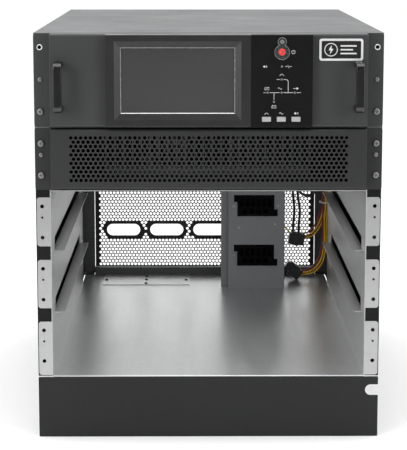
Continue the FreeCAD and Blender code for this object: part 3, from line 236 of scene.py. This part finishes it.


# The lid's lighter grey is a painted highlight, standing in for the overhead light on its top.
lid_paint = powder_coat("lid_coat_painted_highlight", 0.105, 0.04, 0.55, shine=0.12)
front_paint = powder_coat("front_powder_coat", 0.034, 0.07, 0.46, shine=0.35)
grille_paint = powder_coat("grille_powder_coat", 0.022, 0.07, 0.48, shine=0.3)
base_paint = powder_coat("base_powder_coat", 0.016, 0.07, 0.52, shine=0.2)
# The skin's near-black is partly painted shade, for the flange seen in the recesses between the module ears.
skin_coat_with_painted_shade = powder_coat("skin_coat_painted_shade", 0.009, 0.07, 0.52, shine=0.12)
post_paint = powder_coat("post_powder_coat", 0.075, 0.07, 0.48)
mesh_paint = powder_coat("mesh_black_coat", 0.010, 0.10, 0.50, 0.2)
bracket_paint = powder_coat("bracket_grey_coat", 0.20, 0.05, 0.47, 0.25)
print("powder coats made")

# %% [markdown]
# ## Galvanised sheet
#
# The bay walls, shelves and floor are hot-dip galvanised. The zinc freezes into crystals, its colour is
# a soft grey, and rolling leaves long faint streaks from front to rear. A metallic shader with a fairly
# broad highlight gives the dull mirror in the floor, where the dark shelf above it shows.

# %% Galvanised sheet and other metals
SPANGLE = 130.0            # crystals per metre
ROLLED = (14, 0.6, 14)     # streaks run front to rear


def galvanised_sheet(name, grey, rough, metallic):
    finish = Finish(name, rough, metallic)
    spangle = finish.crystals(SPANGLE)
    streak = finish.noise(9.0, 4.0, stretch=ROLLED)
    soft = finish.blend(spangle, tint(grey * 0.98), tint(grey * 1.02, 0.01), 0.1, 0.9)
    mix = finish.tree.nodes.new("ShaderNodeMix")
    mix.data_type = "RGBA"
    mix.blend_type = "MULTIPLY"
    mix.inputs["Factor"].default_value = 1.0
    finish.tree.links.new(soft, mix.inputs["A"])
    finish.tree.links.new(finish.blend(streak, (0.96, 0.96, 0.96), (1, 1, 1)), mix.inputs["B"])
    finish.colour(mix.outputs["Result"])
    finish.gloss(finish.noise(14.0, 2.0, stretch=(3, 0.7, 3)), rough - 0.02, rough + 0.03)
    finish.relief((finish.noise(900.0, 2.0), 0.06, 0.1 * MM))
    return finish.material


def plated_metal(name, grey, rough, scratch=(60, 3, 60), metallic=1.0, depth=0.15):
    finish = Finish(name, rough, metallic)
    lines = finish.noise(30.0, 4.0, stretch=scratch)
    finish.colour(finish.blend(lines, tint(grey * 0.92), tint(grey * 1.05, 0.01)))
    finish.gloss(finish.noise(120.0, 2.0), rough - 0.04, rough + 0.05)
    finish.relief((lines, depth, 0.2 * MM))
    return finish.material


zinc_sheet = galvanised_sheet("galvanised_sheet", 0.44, 0.36, 0.75)
zinc_floor = galvanised_sheet("galvanised_floor", 0.70, 0.31, 0.86)
case_sheet = galvanised_sheet("case_sheet", 0.10, 0.45, 0.6)
screw_zinc = plated_metal("zinc_screws", 0.30, 0.38)
screw_black = plated_metal("black_oxide_screws", 0.05, 0.36)
badge_metal = plated_metal("badge_aluminium", 0.84, 0.35, (8, 8, 90), 0.5)
handle_metal = plated_metal("handle_anodised", 0.065, 0.21, (12, 12, 2), 1.0, 0.03)
fin_metal = plated_metal("heatsink_aluminium", 0.55, 0.42, (6, 1, 6))
print("metals made")

# %% [markdown]
# ## Plastics, film and glass
#
# Moulded parts have a spark-eroded grain, finer than powder coat. The control panel is a printed film:
# almost black, with a fine satin tooth. The display is off, so it is a dark plate under a clear sheet.
# The cover over the stop button is clear and only shows by its edge and its highlights.

# %% Plastics, film, glass and sleeves
SPARK_GRAIN = 1700.0       # repeats per metre


def moulded(name, colour, rough, grain=0.25, drift=0.08, shine=0.5):
    finish = Finish(name, rough)
    finish.shader.inputs["Specular IOR Level"].default_value = shine
    cloud = finish.noise(35.0, 3.0)
    low = tuple(c * (1 - drift) for c in colour)
    high = tuple(c * (1 + drift) for c in colour)
    finish.colour(finish.blend(cloud, low, high))
    finish.gloss(finish.noise(60.0, 2.0), rough - 0.04, rough + 0.05)
    finish.relief((finish.noise(SPARK_GRAIN, 2.0), grain, 0.25 * MM))
    return finish.material


def clear_sheet(name, colour, alpha, rough):
    finish = Finish(name, rough)
    haze = finish.noise(90.0, 2.0)
    finish.colour(finish.blend(haze, tuple(c * 0.95 for c in colour), colour))
    finish.gloss(finish.noise(140.0, 2.0), rough, rough + 0.05)
    finish.shader.inputs["Alpha"].default_value = alpha
    finish.shader.inputs["Coat Weight"].default_value = 1.0
    finish.shader.inputs["Coat Roughness"].default_value = 0.04
    finish.relief((finish.noise(200.0, 1.0), 0.04, 0.2 * MM))
    return finish.material


PANE_DARK = (0.034, 0.034, 0.035)
PANE_PALE = (0.046, 0.046, 0.047)


def display_pane(name):
    finish = Finish(name, 0.16)
    cloud = finish.noise(4.0, 2.0, stretch=(1, 1, 2.2))
    finish.colour(finish.blend(cloud, PANE_DARK, PANE_PALE))
    finish.gloss(finish.noise(18.0, 2.0), 0.13, 0.20)
    finish.shader.inputs["Coat Weight"].default_value = 0.4
    finish.shader.inputs["Coat Roughness"].default_value = 0.08
    finish.relief((finish.noise(700.0, 1.0), 0.03, 0.2 * MM))
    return finish.material


bezel_plastic = moulded("bezel_plastic", (0.014, 0.014, 0.0145), 0.36, shine=0.4)
overlay_film = moulded("overlay_film", (0.0045, 0.0046, 0.0048), 0.48, 0.12, shine=0.12)
connector_plastic = moulded("connector_plastic", (0.0022, 0.0022, 0.0024), 0.55, shine=0.05)
loom_plastic = moulded("loom_connector_plastic", (0.010, 0.010, 0.011), 0.30)
key_plastic = moulded("key_plastic", (0.34, 0.34, 0.345), 0.45)
stop_plastic = moulded("stop_red_plastic", (0.72, 0.022, 0.018), 0.25, 0.08)
lamp_plastic = moulded("lamp_plastic", (0.16, 0.16, 0.16), 0.30, 0.08)
badge_lacquer = moulded("badge_black_lacquer", (0.012, 0.012, 0.013), 0.22, 0.04)
fan_plastic = moulded("fan_plastic", (0.014, 0.014, 0.015), 0.45)
yellow_sleeve = moulded("yellow_insulation", (0.72, 0.47, 0.03), 0.34, 0.12)
red_sleeve = moulded("red_insulation", (0.26, 0.016, 0.014), 0.34, 0.12)
black_sleeve = moulded("black_insulation", (0.010, 0.010, 0.010), 0.42, 0.12)
natural_nylon = moulded("natural_nylon", (0.62, 0.61, 0.57), 0.40, 0.1)
print_ink = moulded("white_print", (0.62, 0.62, 0.62), 0.5, 0.1)
clear_cover = clear_sheet("clear_cover", (0.30, 0.31, 0.32), 0.07, 0.10)
display_glass = display_pane("display_pane")
print("plastics and film made")

# %% [markdown]
# ## Which piece wears what
#
# The engineering record names a slot for each node. A table from node to finish would repeat it, so the
# finish follows the slot, with a few nodes listed where two neighbours of one slot differ.

# %% Dress the nodes
SLOT_FINISH = {
    "lid_paint": lid_paint, "dark_paint": skin_coat_with_painted_shade, "galvanised": zinc_sheet, "black_mesh": mesh_paint,
    "bracket_grey": bracket_paint, "connector_black": connector_plastic, "bezel_plastic": bezel_plastic,
    "overlay_black": overlay_film, "screen": display_glass, "clear_cover": clear_cover,
    "stop_red": stop_plastic, "key_grey": key_plastic, "lamp": lamp_plastic, "screw_steel": screw_zinc,
    "screw_black": screw_black, "badge_silver": badge_metal, "badge_dark": badge_lacquer,
    "handle_metal": handle_metal, "heatsink": fin_metal, "wire_yellow": yellow_sleeve,
    "wire_red": red_sleeve, "wire_black": black_sleeve, "nylon": natural_nylon, "fan_black": fan_plastic,
}
NODE_FINISH = {
    "display_front_panel": front_paint, "bypass_front_panel": grille_paint, "bottom_panel": base_paint,
    "bay_floor": zinc_floor, "floor_plate": zinc_floor, "display_case": case_sheet,
    "bypass_case": case_sheet, "left_rear_post": post_paint, "right_rear_post": post_paint,
    "rear_post_feet": post_paint, "rear_bottom_rail": post_paint,
    "harness_connector_upper": loom_plastic, "harness_connector_lower": loom_plastic,
}


def dress(obj, finish):
    """The finish in every material slot of an object."""
    obj.data.materials.clear()
    obj.data.materials.append(finish)


for part in frame["record"]["subparts"]:
    name = part["node"]
    dress(nodes[name], NODE_FINISH.get(name, SLOT_FINISH[part["material_slot"]]))

# %% [markdown]
# ## Printed symbols
#
# Ink on the film is thin, so each symbol is a flat outline raised by about a tenth of a millimetre. Strokes
# are ribbons: a line of points given a width. Building them from ribbons keeps every symbol in one hand,
# as a real icon set is. The symbols are the plain kind found on any power device: a wave for the
# inverter, a stepped arrow for the bypass, a cell for the battery.

# %% Ribbons and discs
INK = 0.00012


def ribbon(mesh, points, width, y, closed=False):
    """Adds a stroke of constant width along points (x, z) to a mesh, raised off the face at y."""
    count = len(points)
    left = []
    right = []
    for index, point in enumerate(points):
        before = points[index - 1] if index or closed else point
        after = points[(index + 1) % count] if index < count - 1 or closed else point
        along = Vector((after[0] - before[0], after[1] - before[1])).normalized()
        side = Vector((-along.y, along.x)) * width / 2
        left.append((point[0] + side.x, point[1] + side.y))
        right.append((point[0] - side.x, point[1] - side.y))
    spans = count if closed else count - 1
    for index in range(spans):
        ahead = (index + 1) % count
        slab(mesh, [left[index], left[ahead], right[ahead], right[index]], y, y - INK)


def slab(mesh, outline, back, front):
    """Adds a closed plate with a polygon outline (x, z), from y = back to y = front."""
    area = sum(a[0] * b[1] - b[0] * a[1] for a, b in zip(outline, outline[1:] + outline[:1]))
    if area < 0:
        outline = outline[::-1]
    near = [mesh.verts.new((x, front, z)) for x, z in outline]
    far = [mesh.verts.new((x, back, z)) for x, z in outline]
    mesh.faces.new(near)
    mesh.faces.new(far[::-1])
    for index in range(len(outline)):
        ahead = (index + 1) % len(outline)
        mesh.faces.new((near[ahead], near[index], far[index], far[ahead]))


def arc(cx, cz, radius, start, end, steps=12):
    """Points along an arc, angles in degrees from +X towards +Z."""
    turn = [math.radians(start + (end - start) * step / steps) for step in range(steps + 1)]
    return [(cx + radius * math.cos(a), cz + radius * math.sin(a)) for a in turn]


def finished_piece(name, mesh, finish, body):
    """Turns a mesh under construction into a dressed piece that rides on a body."""
    data = bpy.data.meshes.new(name)
    bmesh.ops.recalc_face_normals(mesh, faces=mesh.faces)
    mesh.to_mesh(data)
    mesh.free()
    obj = bpy.data.objects.new(name, data)
    bpy.context.scene.collection.objects.link(obj)
    data.materials.append(finish)
    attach(obj, body)


def printed(name, draw, y=overlay_front, finish=print_ink, body="display_module"):
    """Makes one printed piece: draw(mesh, y) adds its strokes."""
    mesh = bmesh.new()
    draw(mesh, y)
    finished_piece(name, mesh, finish, body)


# %% [markdown]
# ## The mimic diagram
#
# Lines join the lamps in the order that power flows: from the rectifier through the inverter to the
# output, with the battery below and the bypass over the top. The lines stop short of each lamp.

# %% Draw the mimic diagram
LINE = 0.55 * MM
LAMP_GAP = 2.6 * MM
LEAD_IN = 5.5 * MM
LEAD_OUT = 8.5 * MM
BYPASS_DASH = 7 * MM
BYPASS_DROP = 9 * MM
BYPASS_BEND = 3.5 * MM


def mimic(mesh, y):
    """Power runs from left to right through the lamps, with the bypass dropping in from above."""
    level = inverter_lamp.z
    left = rectifier_lamp.x - LEAD_IN
    right = output_lamp.x + LEAD_OUT
    stops = [left, rectifier_lamp.x, inverter_lamp.x, output_lamp.x, right]
    for here, there in zip(stops, stops[1:]):
        start = here + (0 if here == left else LAMP_GAP)
        end = there - (0 if there == right else LAMP_GAP)
        ribbon(mesh, [(start, level), (end, level)], LINE, y)
    ribbon(mesh, [(battery_lamp.x, level), (battery_lamp.x, battery_lamp.z + LAMP_GAP)], LINE, y)
    top = bypass_lamp.z
    drop = output_lamp.x - BYPASS_DROP
    ribbon(mesh, [(bypass_lamp.x - BYPASS_DASH, top), (bypass_lamp.x - LAMP_GAP, top)], LINE, y)
    round_corner = arc(drop - BYPASS_BEND, top - BYPASS_BEND, BYPASS_BEND, 90, 0, 6)
    ribbon(mesh, [(bypass_lamp.x + LAMP_GAP, top)] + round_corner + [(drop, level)], LINE, y)


printed("mimic_lines", mimic)
print("mimic diagram drawn from", round(rectifier_lamp.x, 3), "to", round(output_lamp.x, 3))

# %% [markdown]
# ## Symbols beside the lamps and keys
#
# Each symbol is a small drawing round its own centre. A table then says which symbol goes where, as an
# offset from the lamp or key that it belongs to.

# %% Symbol drawings
PEN = 0.5 * MM


def wave(mesh, x, z, y, size):
    """One period of a sine, for the inverter."""
    points = []
    for step in range(17):
        t = step / 16
        points.append((x + (t - 0.5) * size * 2, z + math.sin(2 * math.pi * t) * size * 0.45))
    ribbon(mesh, points, PEN, y)


def arrow(mesh, x, z, y, size):
    """A stroke with a solid head, for the output."""
    ribbon(mesh, [(x - size, z), (x + size * 0.4, z)], PEN, y)
    head = [(x + size * 0.3, z - size * 0.5), (x + size, z), (x + size * 0.3, z + size * 0.5)]
    slab(mesh, head, y, y - INK)


def detour(mesh, x, z, y, size):
    """A line that hops over, for the bypass."""
    low = z - size * 0.4
    path = [(x - size, low), (x - size * 0.6, low)] + arc(x, low, size * 0.6, 180, 0, 10) + [(x + size, low)]
    ribbon(mesh, path, PEN, y)


def box_outline(mesh, x, z, y, size, half, pen):
    """Four strokes round a rectangle of half width size and half height half."""
    corners = [(x - size, z - half), (x + size, z - half), (x + size, z + half), (x - size, z + half)]
    ribbon(mesh, corners + corners[:1], pen, y)


def rectifier(mesh, x, z, y, size):
    """A box with a diagonal, for the rectifier."""
    half = size * 0.55
    box_outline(mesh, x, z, y, size, half, PEN * 0.8)
    ribbon(mesh, [(x - size, z - half), (x + size, z + half)], PEN * 0.8, y)


def cell(mesh, x, z, y, size):
    """A battery with two lugs and its two signs."""
    half = size * 0.5
    box_outline(mesh, x, z, y, size, half, PEN)
    for lug in (-0.55, 0.55):
        ribbon(mesh, [(x + size * lug, z + half), (x + size * lug, z + half + size * 0.35)], PEN * 1.6, y)
    ribbon(mesh, [(x - size * 0.75, z), (x - size * 0.3, z)], PEN * 0.9, y)
    ribbon(mesh, [(x + size * 0.3, z), (x + size * 0.75, z)], PEN * 0.9, y)
    ribbon(mesh, [(x + size * 0.525, z - size * 0.22), (x + size * 0.525, z + size * 0.22)], PEN * 0.9, y)


def speaker_cone(mesh, x, z, y, size):
    """Magnet and cone, seen from the side."""
    cone = [(x - size, z - size * 0.3), (x - size * 0.5, z - size * 0.3), (x, z - size * 0.75),
            (x, z + size * 0.75), (x - size * 0.5, z + size * 0.3), (x - size, z + size * 0.3)]
    slab(mesh, cone, y, y - INK)


def speaker(mesh, x, z, y, size):
    """A cone with two sound arcs."""
    speaker_cone(mesh, x, z, y, size)
    ribbon(mesh, arc(x, z, size * 0.6, -40, 40, 6), PEN, y)
    ribbon(mesh, arc(x, z, size * 1.05, -40, 40, 6), PEN, y)


def silenced(mesh, x, z, y, size):
    """A cone with a small cross."""
    speaker_cone(mesh, x, z, y, size)
    for lean in (-1, 1):
        low = (x + size * 0.4, z - lean * size * 0.4)
        ribbon(mesh, [low, (x + size * 1.2, z + lean * size * 0.4)], PEN, y)


def power_off(mesh, x, z, y, size):
    """A broken ring with a stroke at its gap."""
    ribbon(mesh, arc(x, z, size * 0.85, 120, 420, 18), PEN, y)
    ribbon(mesh, [(x, z + size * 0.1), (x, z + size)], PEN, y)


def pulse(mesh, x, z, y, size):
    """A heartbeat line, for the status lamp."""
    steps = [(-1.3, 0), (-0.6, 0), (-0.3, 0.55), (0.1, -0.6), (0.4, 0), (1.3, 0)]
    ribbon(mesh, [(x + a * size, z + b * size) for a, b in steps], PEN, y)


# %% Place the symbols
ROOM = 7.0 * MM
SYMBOLS = {
    "symbol_status": (pulse, status_lamp, (9.0 * MM, 0), 3.4 * MM),
    "symbol_speaker": (speaker, status_lamp, (-23.0 * MM, 0), 2.4 * MM),
    "symbol_bypass": (detour, bypass_lamp, (0, ROOM * 0.95), 3.2 * MM),
    "symbol_rectifier": (rectifier, rectifier_lamp, (-1.0 * MM, ROOM * 0.8), 3.0 * MM),
    "symbol_inverter": (wave, inverter_lamp, (-2.5 * MM, ROOM * 0.8), 2.6 * MM),
    "symbol_output": (arrow, output_lamp, (1.5 * MM, ROOM * 0.8), 3.6 * MM),
    "symbol_battery": (cell, battery_lamp, (0, -ROOM), 3.0 * MM),
    "symbol_key_bypass": (detour, keys["bypass"], (0, ROOM * 1.15), 3.0 * MM),
    "symbol_key_inverter": (wave, keys["inverter"], (0, ROOM * 1.15), 2.6 * MM),
    "symbol_key_mute": (silenced, keys["mute"], (0, ROOM * 1.15), 2.6 * MM),
    "symbol_stop": (power_off, stop, (15.5 * MM, 0), 2.8 * MM),
}
for label, (drawing, anchor, offset, size) in SYMBOLS.items():
    spot = (anchor.x + offset[0], anchor.z + offset[1])
    printed(label, lambda mesh, y, d=drawing, p=spot, s=size: d(mesh, p[0], p[1], y, s))
print("symbols placed:", len(SYMBOLS))

# %% [markdown]
# ## The window's inner edge and the ear rims
#
# The display's moulding ends in a fine chamfer round the glass. It is a millimetre wide, yet it draws the
# whole window, because its lower run faces the light. A ring of quads makes it: the outer loop lies on the
# moulding, the inner loop sits deeper, towards the glass. Its bright metal finish is partly a painted
# highlight, standing in for the light caught by the moulding's own edge. The empty top hole of each module
# ear has a bright pressed rim, which draws the hole in the same way, made as a small lathe profile.

# %% Chamfer round the glass
TRIM_WIDTH = 1.1 * MM
TRIM_DEPTH = 1.2 * MM
TRIM_INNER_DEPTH = 0.25 * MM
TRIM_CLEAR = 0.02 * MM      # keeps the ring's back off the glass
TRIM_LAP = 1.4 * MM


def frame_loop(mesh, half_x, half_z, centre, y):
    """Four corner vertices of an upright rectangle."""
    corners = [(-1, -1), (1, -1), (1, 1), (-1, 1)]
    return [mesh.verts.new((centre.x + a * half_x, y, centre.z + b * half_z)) for a, b in corners]


def window_trim():
    """A closed chamfered frame just inside the moulding's window."""
    glass_low, glass_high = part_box("display_glass")
    centre = middle("display_glass")
    outer = ((glass_high[0] - glass_low[0]) / 2 - TRIM_LAP, (glass_high[2] - glass_low[2]) / 2 - TRIM_LAP)
    inner = (outer[0] - TRIM_WIDTH, outer[1] - TRIM_WIDTH)
    face = glass_low[1]
    mesh = bmesh.new()
    loops = [
        frame_loop(mesh, outer[0], outer[1], centre, face - TRIM_CLEAR),
        frame_loop(mesh, outer[0], outer[1], centre, face - TRIM_DEPTH),
        frame_loop(mesh, inner[0], inner[1], centre, face - TRIM_INNER_DEPTH),
        frame_loop(mesh, inner[0], inner[1], centre, face - TRIM_CLEAR),
    ]
    for here, there in zip(loops, loops[1:] + loops[:1]):
        for index in range(4):
            ahead = (index + 1) % 4
            mesh.faces.new((here[index], here[ahead], there[ahead], there[index]))
    finished_piece("display_window_trim", mesh, window_trim_highlight_metal, "display_module")


# Bright metal on the chamfer: partly a painted highlight for the light caught by the moulding's edge.
window_trim_highlight_metal = plated_metal("window_trim_highlight_metal", 0.34, 0.26, (3, 3, 3))
rivet_metal = plated_metal("rivet_zinc", 0.45, 0.40, (3, 3, 3), 0.6)
# A grey for the stop cover's outline: a painted highlight where light catches the clear edge.
flap_highlight_grey = moulded("painted_highlight_grey_for_flap", (0.20, 0.205, 0.21), 0.18, 0.05)
window_trim()
print("trim laid round the glass")

# %% Rims of the empty ear holes
RIM_IN = 2.7 * MM
RIM_OUT = 4.1 * MM
RIM_PROUD = 0.35 * MM
RIM_SINK = 0.3 * MM
EAR_HOLE_X = 232.55 * MM
EAR_HOLE_TOP = 19.5 * MM
EAR_STANDOFF = 2.3 * MM


def lathe(mesh, profile, x, z, steps=28):
    """Turns a closed profile of (radius, y) points about an axis along Y."""
    rings = []
    for step in range(steps):
        turn = 2 * math.pi * step / steps
        spoke = (math.cos(turn), math.sin(turn))
        rings.append([mesh.verts.new((x + r * spoke[0], y, z + r * spoke[1])) for r, y in profile])
    for here, there in zip(rings, rings[1:] + rings[:1]):
        for index in range(len(profile)):
            ahead = (index + 1) % len(profile)
            mesh.faces.new((here[index], here[ahead], there[ahead], there[index]))


rim_z = cad_box[1][2] - EAR_HOLE_TOP
ear_plane = EAR_FACE_Y - EAR_STANDOFF
for side, label in ((-1, "left"), (1, "right")):
    rim = bmesh.new()
    section = [(RIM_IN, ear_plane + RIM_SINK), (RIM_IN, ear_plane - RIM_PROUD * 0.4),
               (RIM_IN + 0.4 * MM, ear_plane - RIM_PROUD), (RIM_OUT - 0.3 * MM, ear_plane - RIM_PROUD),
               (RIM_OUT, ear_plane - 0.05 * MM), (RIM_OUT, ear_plane + RIM_SINK)]
    lathe(rim, section, side * EAR_HOLE_X, rim_z)
    finished_piece(label + "_ear_hole_rim", rim, badge_metal, "display_module")
print("ear rims at z =", round(rim_z, 4))

# %% Rivets of the connector bracket
RIVET_R = 1.9 * MM
RIVET_PROUD = 0.9 * MM
RIVET_SINK = 0.2 * MM
RIVET_POLE = 0.2 * MM       # the profile stops just short of its own axis
CONNECTOR_SETBACK = 0.4 * MM
RIVET_SPOTS = ((-29.7, 49.6), (33.9, 55.7))     # across and above the lowest connector's middle, in mm
bracket_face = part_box("power_connector_1")[0][1] - CONNECTOR_SETBACK
window = middle("power_connector_1")
rivets = bmesh.new()
dome = [(RIVET_POLE, bracket_face + RIVET_SINK), (RIVET_POLE, bracket_face - RIVET_PROUD),
        (RIVET_R * 0.55, bracket_face - RIVET_PROUD * 0.85),
        (RIVET_R * 0.9, bracket_face - RIVET_PROUD * 0.4),
        (RIVET_R, bracket_face), (RIVET_R, bracket_face + RIVET_SINK)]
for across, up in RIVET_SPOTS:
    lathe(rivets, dome, window.x + across * MM, window.z + up * MM, 20)
finished_piece("bracket_rivets", rivets, rivet_metal, "cabinet")
print("rivets on the bracket at y =", round(bracket_face, 4))

# %% [markdown]
# ## The painted highlight on the stop cover's edge
#
# The flap is clear, so on the real one it shows where light catches its moulded edge. Here that highlight
# is painted, as a grey stroke along the outline. The outline is two arcs, one round the button and one
# round the pivot, that meet where the two circles cross.

# %% Painted highlight along the edge of the stop cover
EDGE_WIDTH = 0.55 * MM
EDGE_SHEET = 0.25 * MM
pivot = middle("cover_pivot")
cover_low, cover_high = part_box("stop_cover")
DISC_R = (cover_high[0] - cover_low[0]) / 2 - EDGE_WIDTH / 2
LOBE_R = cover_high[2] - pivot.z - EDGE_WIDTH / 2


def cover_outline():
    """Keyhole outline as one closed line of (x, z) points."""
    apart = pivot.z - stop.z
    reach = (apart ** 2 + DISC_R ** 2 - LOBE_R ** 2) / (2 * apart)
    half = math.sqrt(DISC_R ** 2 - reach ** 2)
    on_disc = math.degrees(math.atan2(half, reach))
    on_lobe = math.degrees(math.atan2(half, apart - reach))
    disc = arc(stop.x, stop.z, DISC_R, 90 + on_disc, 450 - on_disc, 40)
    lobe = arc(stop.x, pivot.z, LOBE_R, on_lobe - 90, 270 - on_lobe, 28)
    return disc + lobe[1:-1]


def painted_flap_highlight(mesh, y):
    """The outline as one raised grey stroke: a painted highlight for the light on the cover's edge."""
    ribbon(mesh, cover_outline(), EDGE_WIDTH, y, closed=True)


printed("stop_cover_painted_highlight", painted_flap_highlight, cover_low[1] - EDGE_SHEET + INK, flap_highlight_grey, "stop_cover")
print("cover edge radii:", round(DISC_R, 4), round(LOBE_R, 4))

# %% [markdown]
# ## The badge
#
# The plate carries a plain mark of its own: a lightning bolt in a ring, with three bars beside it. It
# stands for no maker. The bolt is a polygon and the ring is a ribbon, raised a little like enamel.

# %% Draw the badge mark
BADGE_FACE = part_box("badge_plate")[0][1]
RING_OFFSET = 14 * MM
RING_R = 8.6 * MM
RING_STROKE = 1.1 * MM
BOLT = ((0.8, 6.2), (-3.4, -0.6), (-0.5, -0.6), (-1.4, -6.2), (3.4, 1.2), (0.5, 1.2))    # mm
BAR_LENGTHS = (22, 17, 22)                                                                # mm
BAR_START = 1.0 * MM
BAR_PITCH = 5.2 * MM
BAR_STROKE = 2.0 * MM


def badge_mark(mesh, y):
    """Bolt, ring and bars round the badge's middle."""
    cx = badge.x - RING_OFFSET
    cz = badge.z
    slab(mesh, [(cx + a * MM, cz + b * MM) for a, b in BOLT], y, y - 2 * INK)
    ribbon(mesh, arc(cx, cz, RING_R, 0, 360, 40), RING_STROKE, y)
    start = badge.x - BAR_START
    for row, reach in enumerate(BAR_LENGTHS):
        z = cz + (1 - row) * BAR_PITCH
        ribbon(mesh, [(start, z), (start + reach * MM, z)], BAR_STROKE, y)


printed("badge_mark", badge_mark, BADGE_FACE, badge_metal)
print("badge mark on y =", round(BADGE_FACE, 4))

# %% [markdown]
# ## Stage, light and camera
#
# The cabinet stands on a plain pale floor in soft studio light: a large softbox overhead, one on each
# side, and a pale surround that shows through the perforated rear. The camera stands a little above the
# lid and a long way back, with a long lens, so that the front keeps nearly parallel edges while the open
# bays still show their floor. A small shift of the lens sets the framing, and is small enough that the
# cabinet stays in the picture from every side.

# %% Floor and surround
FRONT_GLOW = 0.22
REAR_GLOW = 1.9
GREY_FROM = -2.2
PALE_FROM = -0.75
FLOOR_GREY = (0.30, 0.30, 0.30)
FLOOR_PALE = (0.92, 0.92, 0.92)
FLOOR_REACH = 14.0
FLOOR_DROP = 0.5 * MM
GLOW_TURN = 0.75            # half width of the change, as a share of the view direction along Y


def fade_ahead(finish):
    """Pale round the cabinet, a quieter grey well ahead of it, so that the fronts mirror a dim room."""
    split = finish.tree.nodes.new("ShaderNodeSeparateXYZ")
    finish.tree.links.new(finish.place.outputs["Object"], split.inputs["Vector"])
    spread = finish.tree.nodes.new("ShaderNodeMapRange")
    spread.interpolation_type = "SMOOTHSTEP"
    spread.inputs["From Min"].default_value = GREY_FROM
    spread.inputs["From Max"].default_value = PALE_FROM
    finish.tree.links.new(split.outputs["Y"], spread.inputs["Value"])
    return finish.blend(spread.outputs["Result"], FLOOR_GREY, FLOOR_PALE, 0.0, 1.0)


def pale_floor():
    data = bpy.data.meshes.new("studio_floor")
    corners = [(x * FLOOR_REACH, y * FLOOR_REACH, 0) for x, y in ((-1, -1), (1, -1), (1, 1), (-1, 1))]
    data.from_pydata(corners, [], [(0, 1, 2, 3)])
    floor = bpy.data.objects.new("studio_floor", data)
    floor.location.z = -FLOOR_DROP
    bpy.context.scene.collection.objects.link(floor)
    finish = Finish("studio_floor", 0.85)
    finish.shader.inputs["Specular IOR Level"].default_value = 0.1
    finish.colour(fade_ahead(finish))
    data.materials.append(finish.material)


pale_floor()


def surround(front, rear):
    """A pale surround, dimmer in front of the cabinet than behind it."""
    world = bpy.data.worlds.new("surround")
    world.use_nodes = True
    tree = world.node_tree
    place = tree.nodes.new("ShaderNodeTexCoord")
    split = tree.nodes.new("ShaderNodeSeparateXYZ")
    tree.links.new(place.outputs["Generated"], split.inputs["Vector"])
    spread = tree.nodes.new("ShaderNodeMapRange")
    spread.interpolation_type = "SMOOTHSTEP"
    spread.inputs["From Min"].default_value = -GLOW_TURN
    spread.inputs["From Max"].default_value = GLOW_TURN
    spread.inputs["To Min"].default_value = front
    spread.inputs["To Max"].default_value = rear
    tree.links.new(split.outputs["Y"], spread.inputs["Value"])
    tree.links.new(spread.outputs["Result"], tree.nodes["Background"].inputs["Strength"])
    tree.nodes["Background"].inputs["Color"].default_value = (1.0, 1.0, 1.0, 1)
    bpy.context.scene.world = world


surround(FRONT_GLOW, REAR_GLOW)

# %% Softboxes
def softbox(name, place, target, size, power):
    light = bpy.data.lights.new(name, "AREA")
    light.shape = "RECTANGLE"
    light.size, light.size_y = size
    light.energy = power
    obj = bpy.data.objects.new(name, light)
    obj.location = place
    obj.rotation_euler = (Vector(target) - Vector(place)).to_track_quat("-Z", "Y").to_euler()
    bpy.context.scene.collection.objects.link(obj)


softbox("softbox_above", (0.0, -0.9, 2.6), (0, -0.1, 0.4), (2.4, 1.6), 34)
softbox("softbox_front_left", (-1.7, -2.0, 1.1), (0, 0, 0.25), (1.0, 1.4), 30)
softbox("softbox_front_right", (1.8, -1.9, 1.0), (0, 0, 0.25), (1.0, 1.4), 22)
softbox("bay_light", (0.0, -0.12, 0.345), (0, -0.12, 0.0), (0.36, 0.36), 0.7)

# %% Camera
CAMERA_RIGHT = -0.0221
CAMERA_AHEAD = 2.205
CAMERA_HEIGHT = 0.708
CAMERA_DOWN = 8.77          # degrees
CAMERA_TURN = -0.39         # degrees
camera_data = bpy.data.cameras.new("camera")
camera_data.sensor_width = 36.0
camera_data.lens = 128.0
camera_data.shift_y = -0.096
camera = bpy.data.objects.new("camera", camera_data)
camera.location = (CAMERA_RIGHT, EAR_FACE_Y - CAMERA_AHEAD, CAMERA_HEIGHT)
camera.rotation_euler = (math.radians(90 - CAMERA_DOWN), 0, math.radians(CAMERA_TURN))
bpy.context.scene.collection.objects.link(camera)
bpy.context.scene.camera = camera
bpy.context.scene.view_settings.view_transform = "Standard"
print("camera at", [round(c, 3) for c in camera.location])

# %% [markdown]
# ## End

# %% End
print("scene dressed")
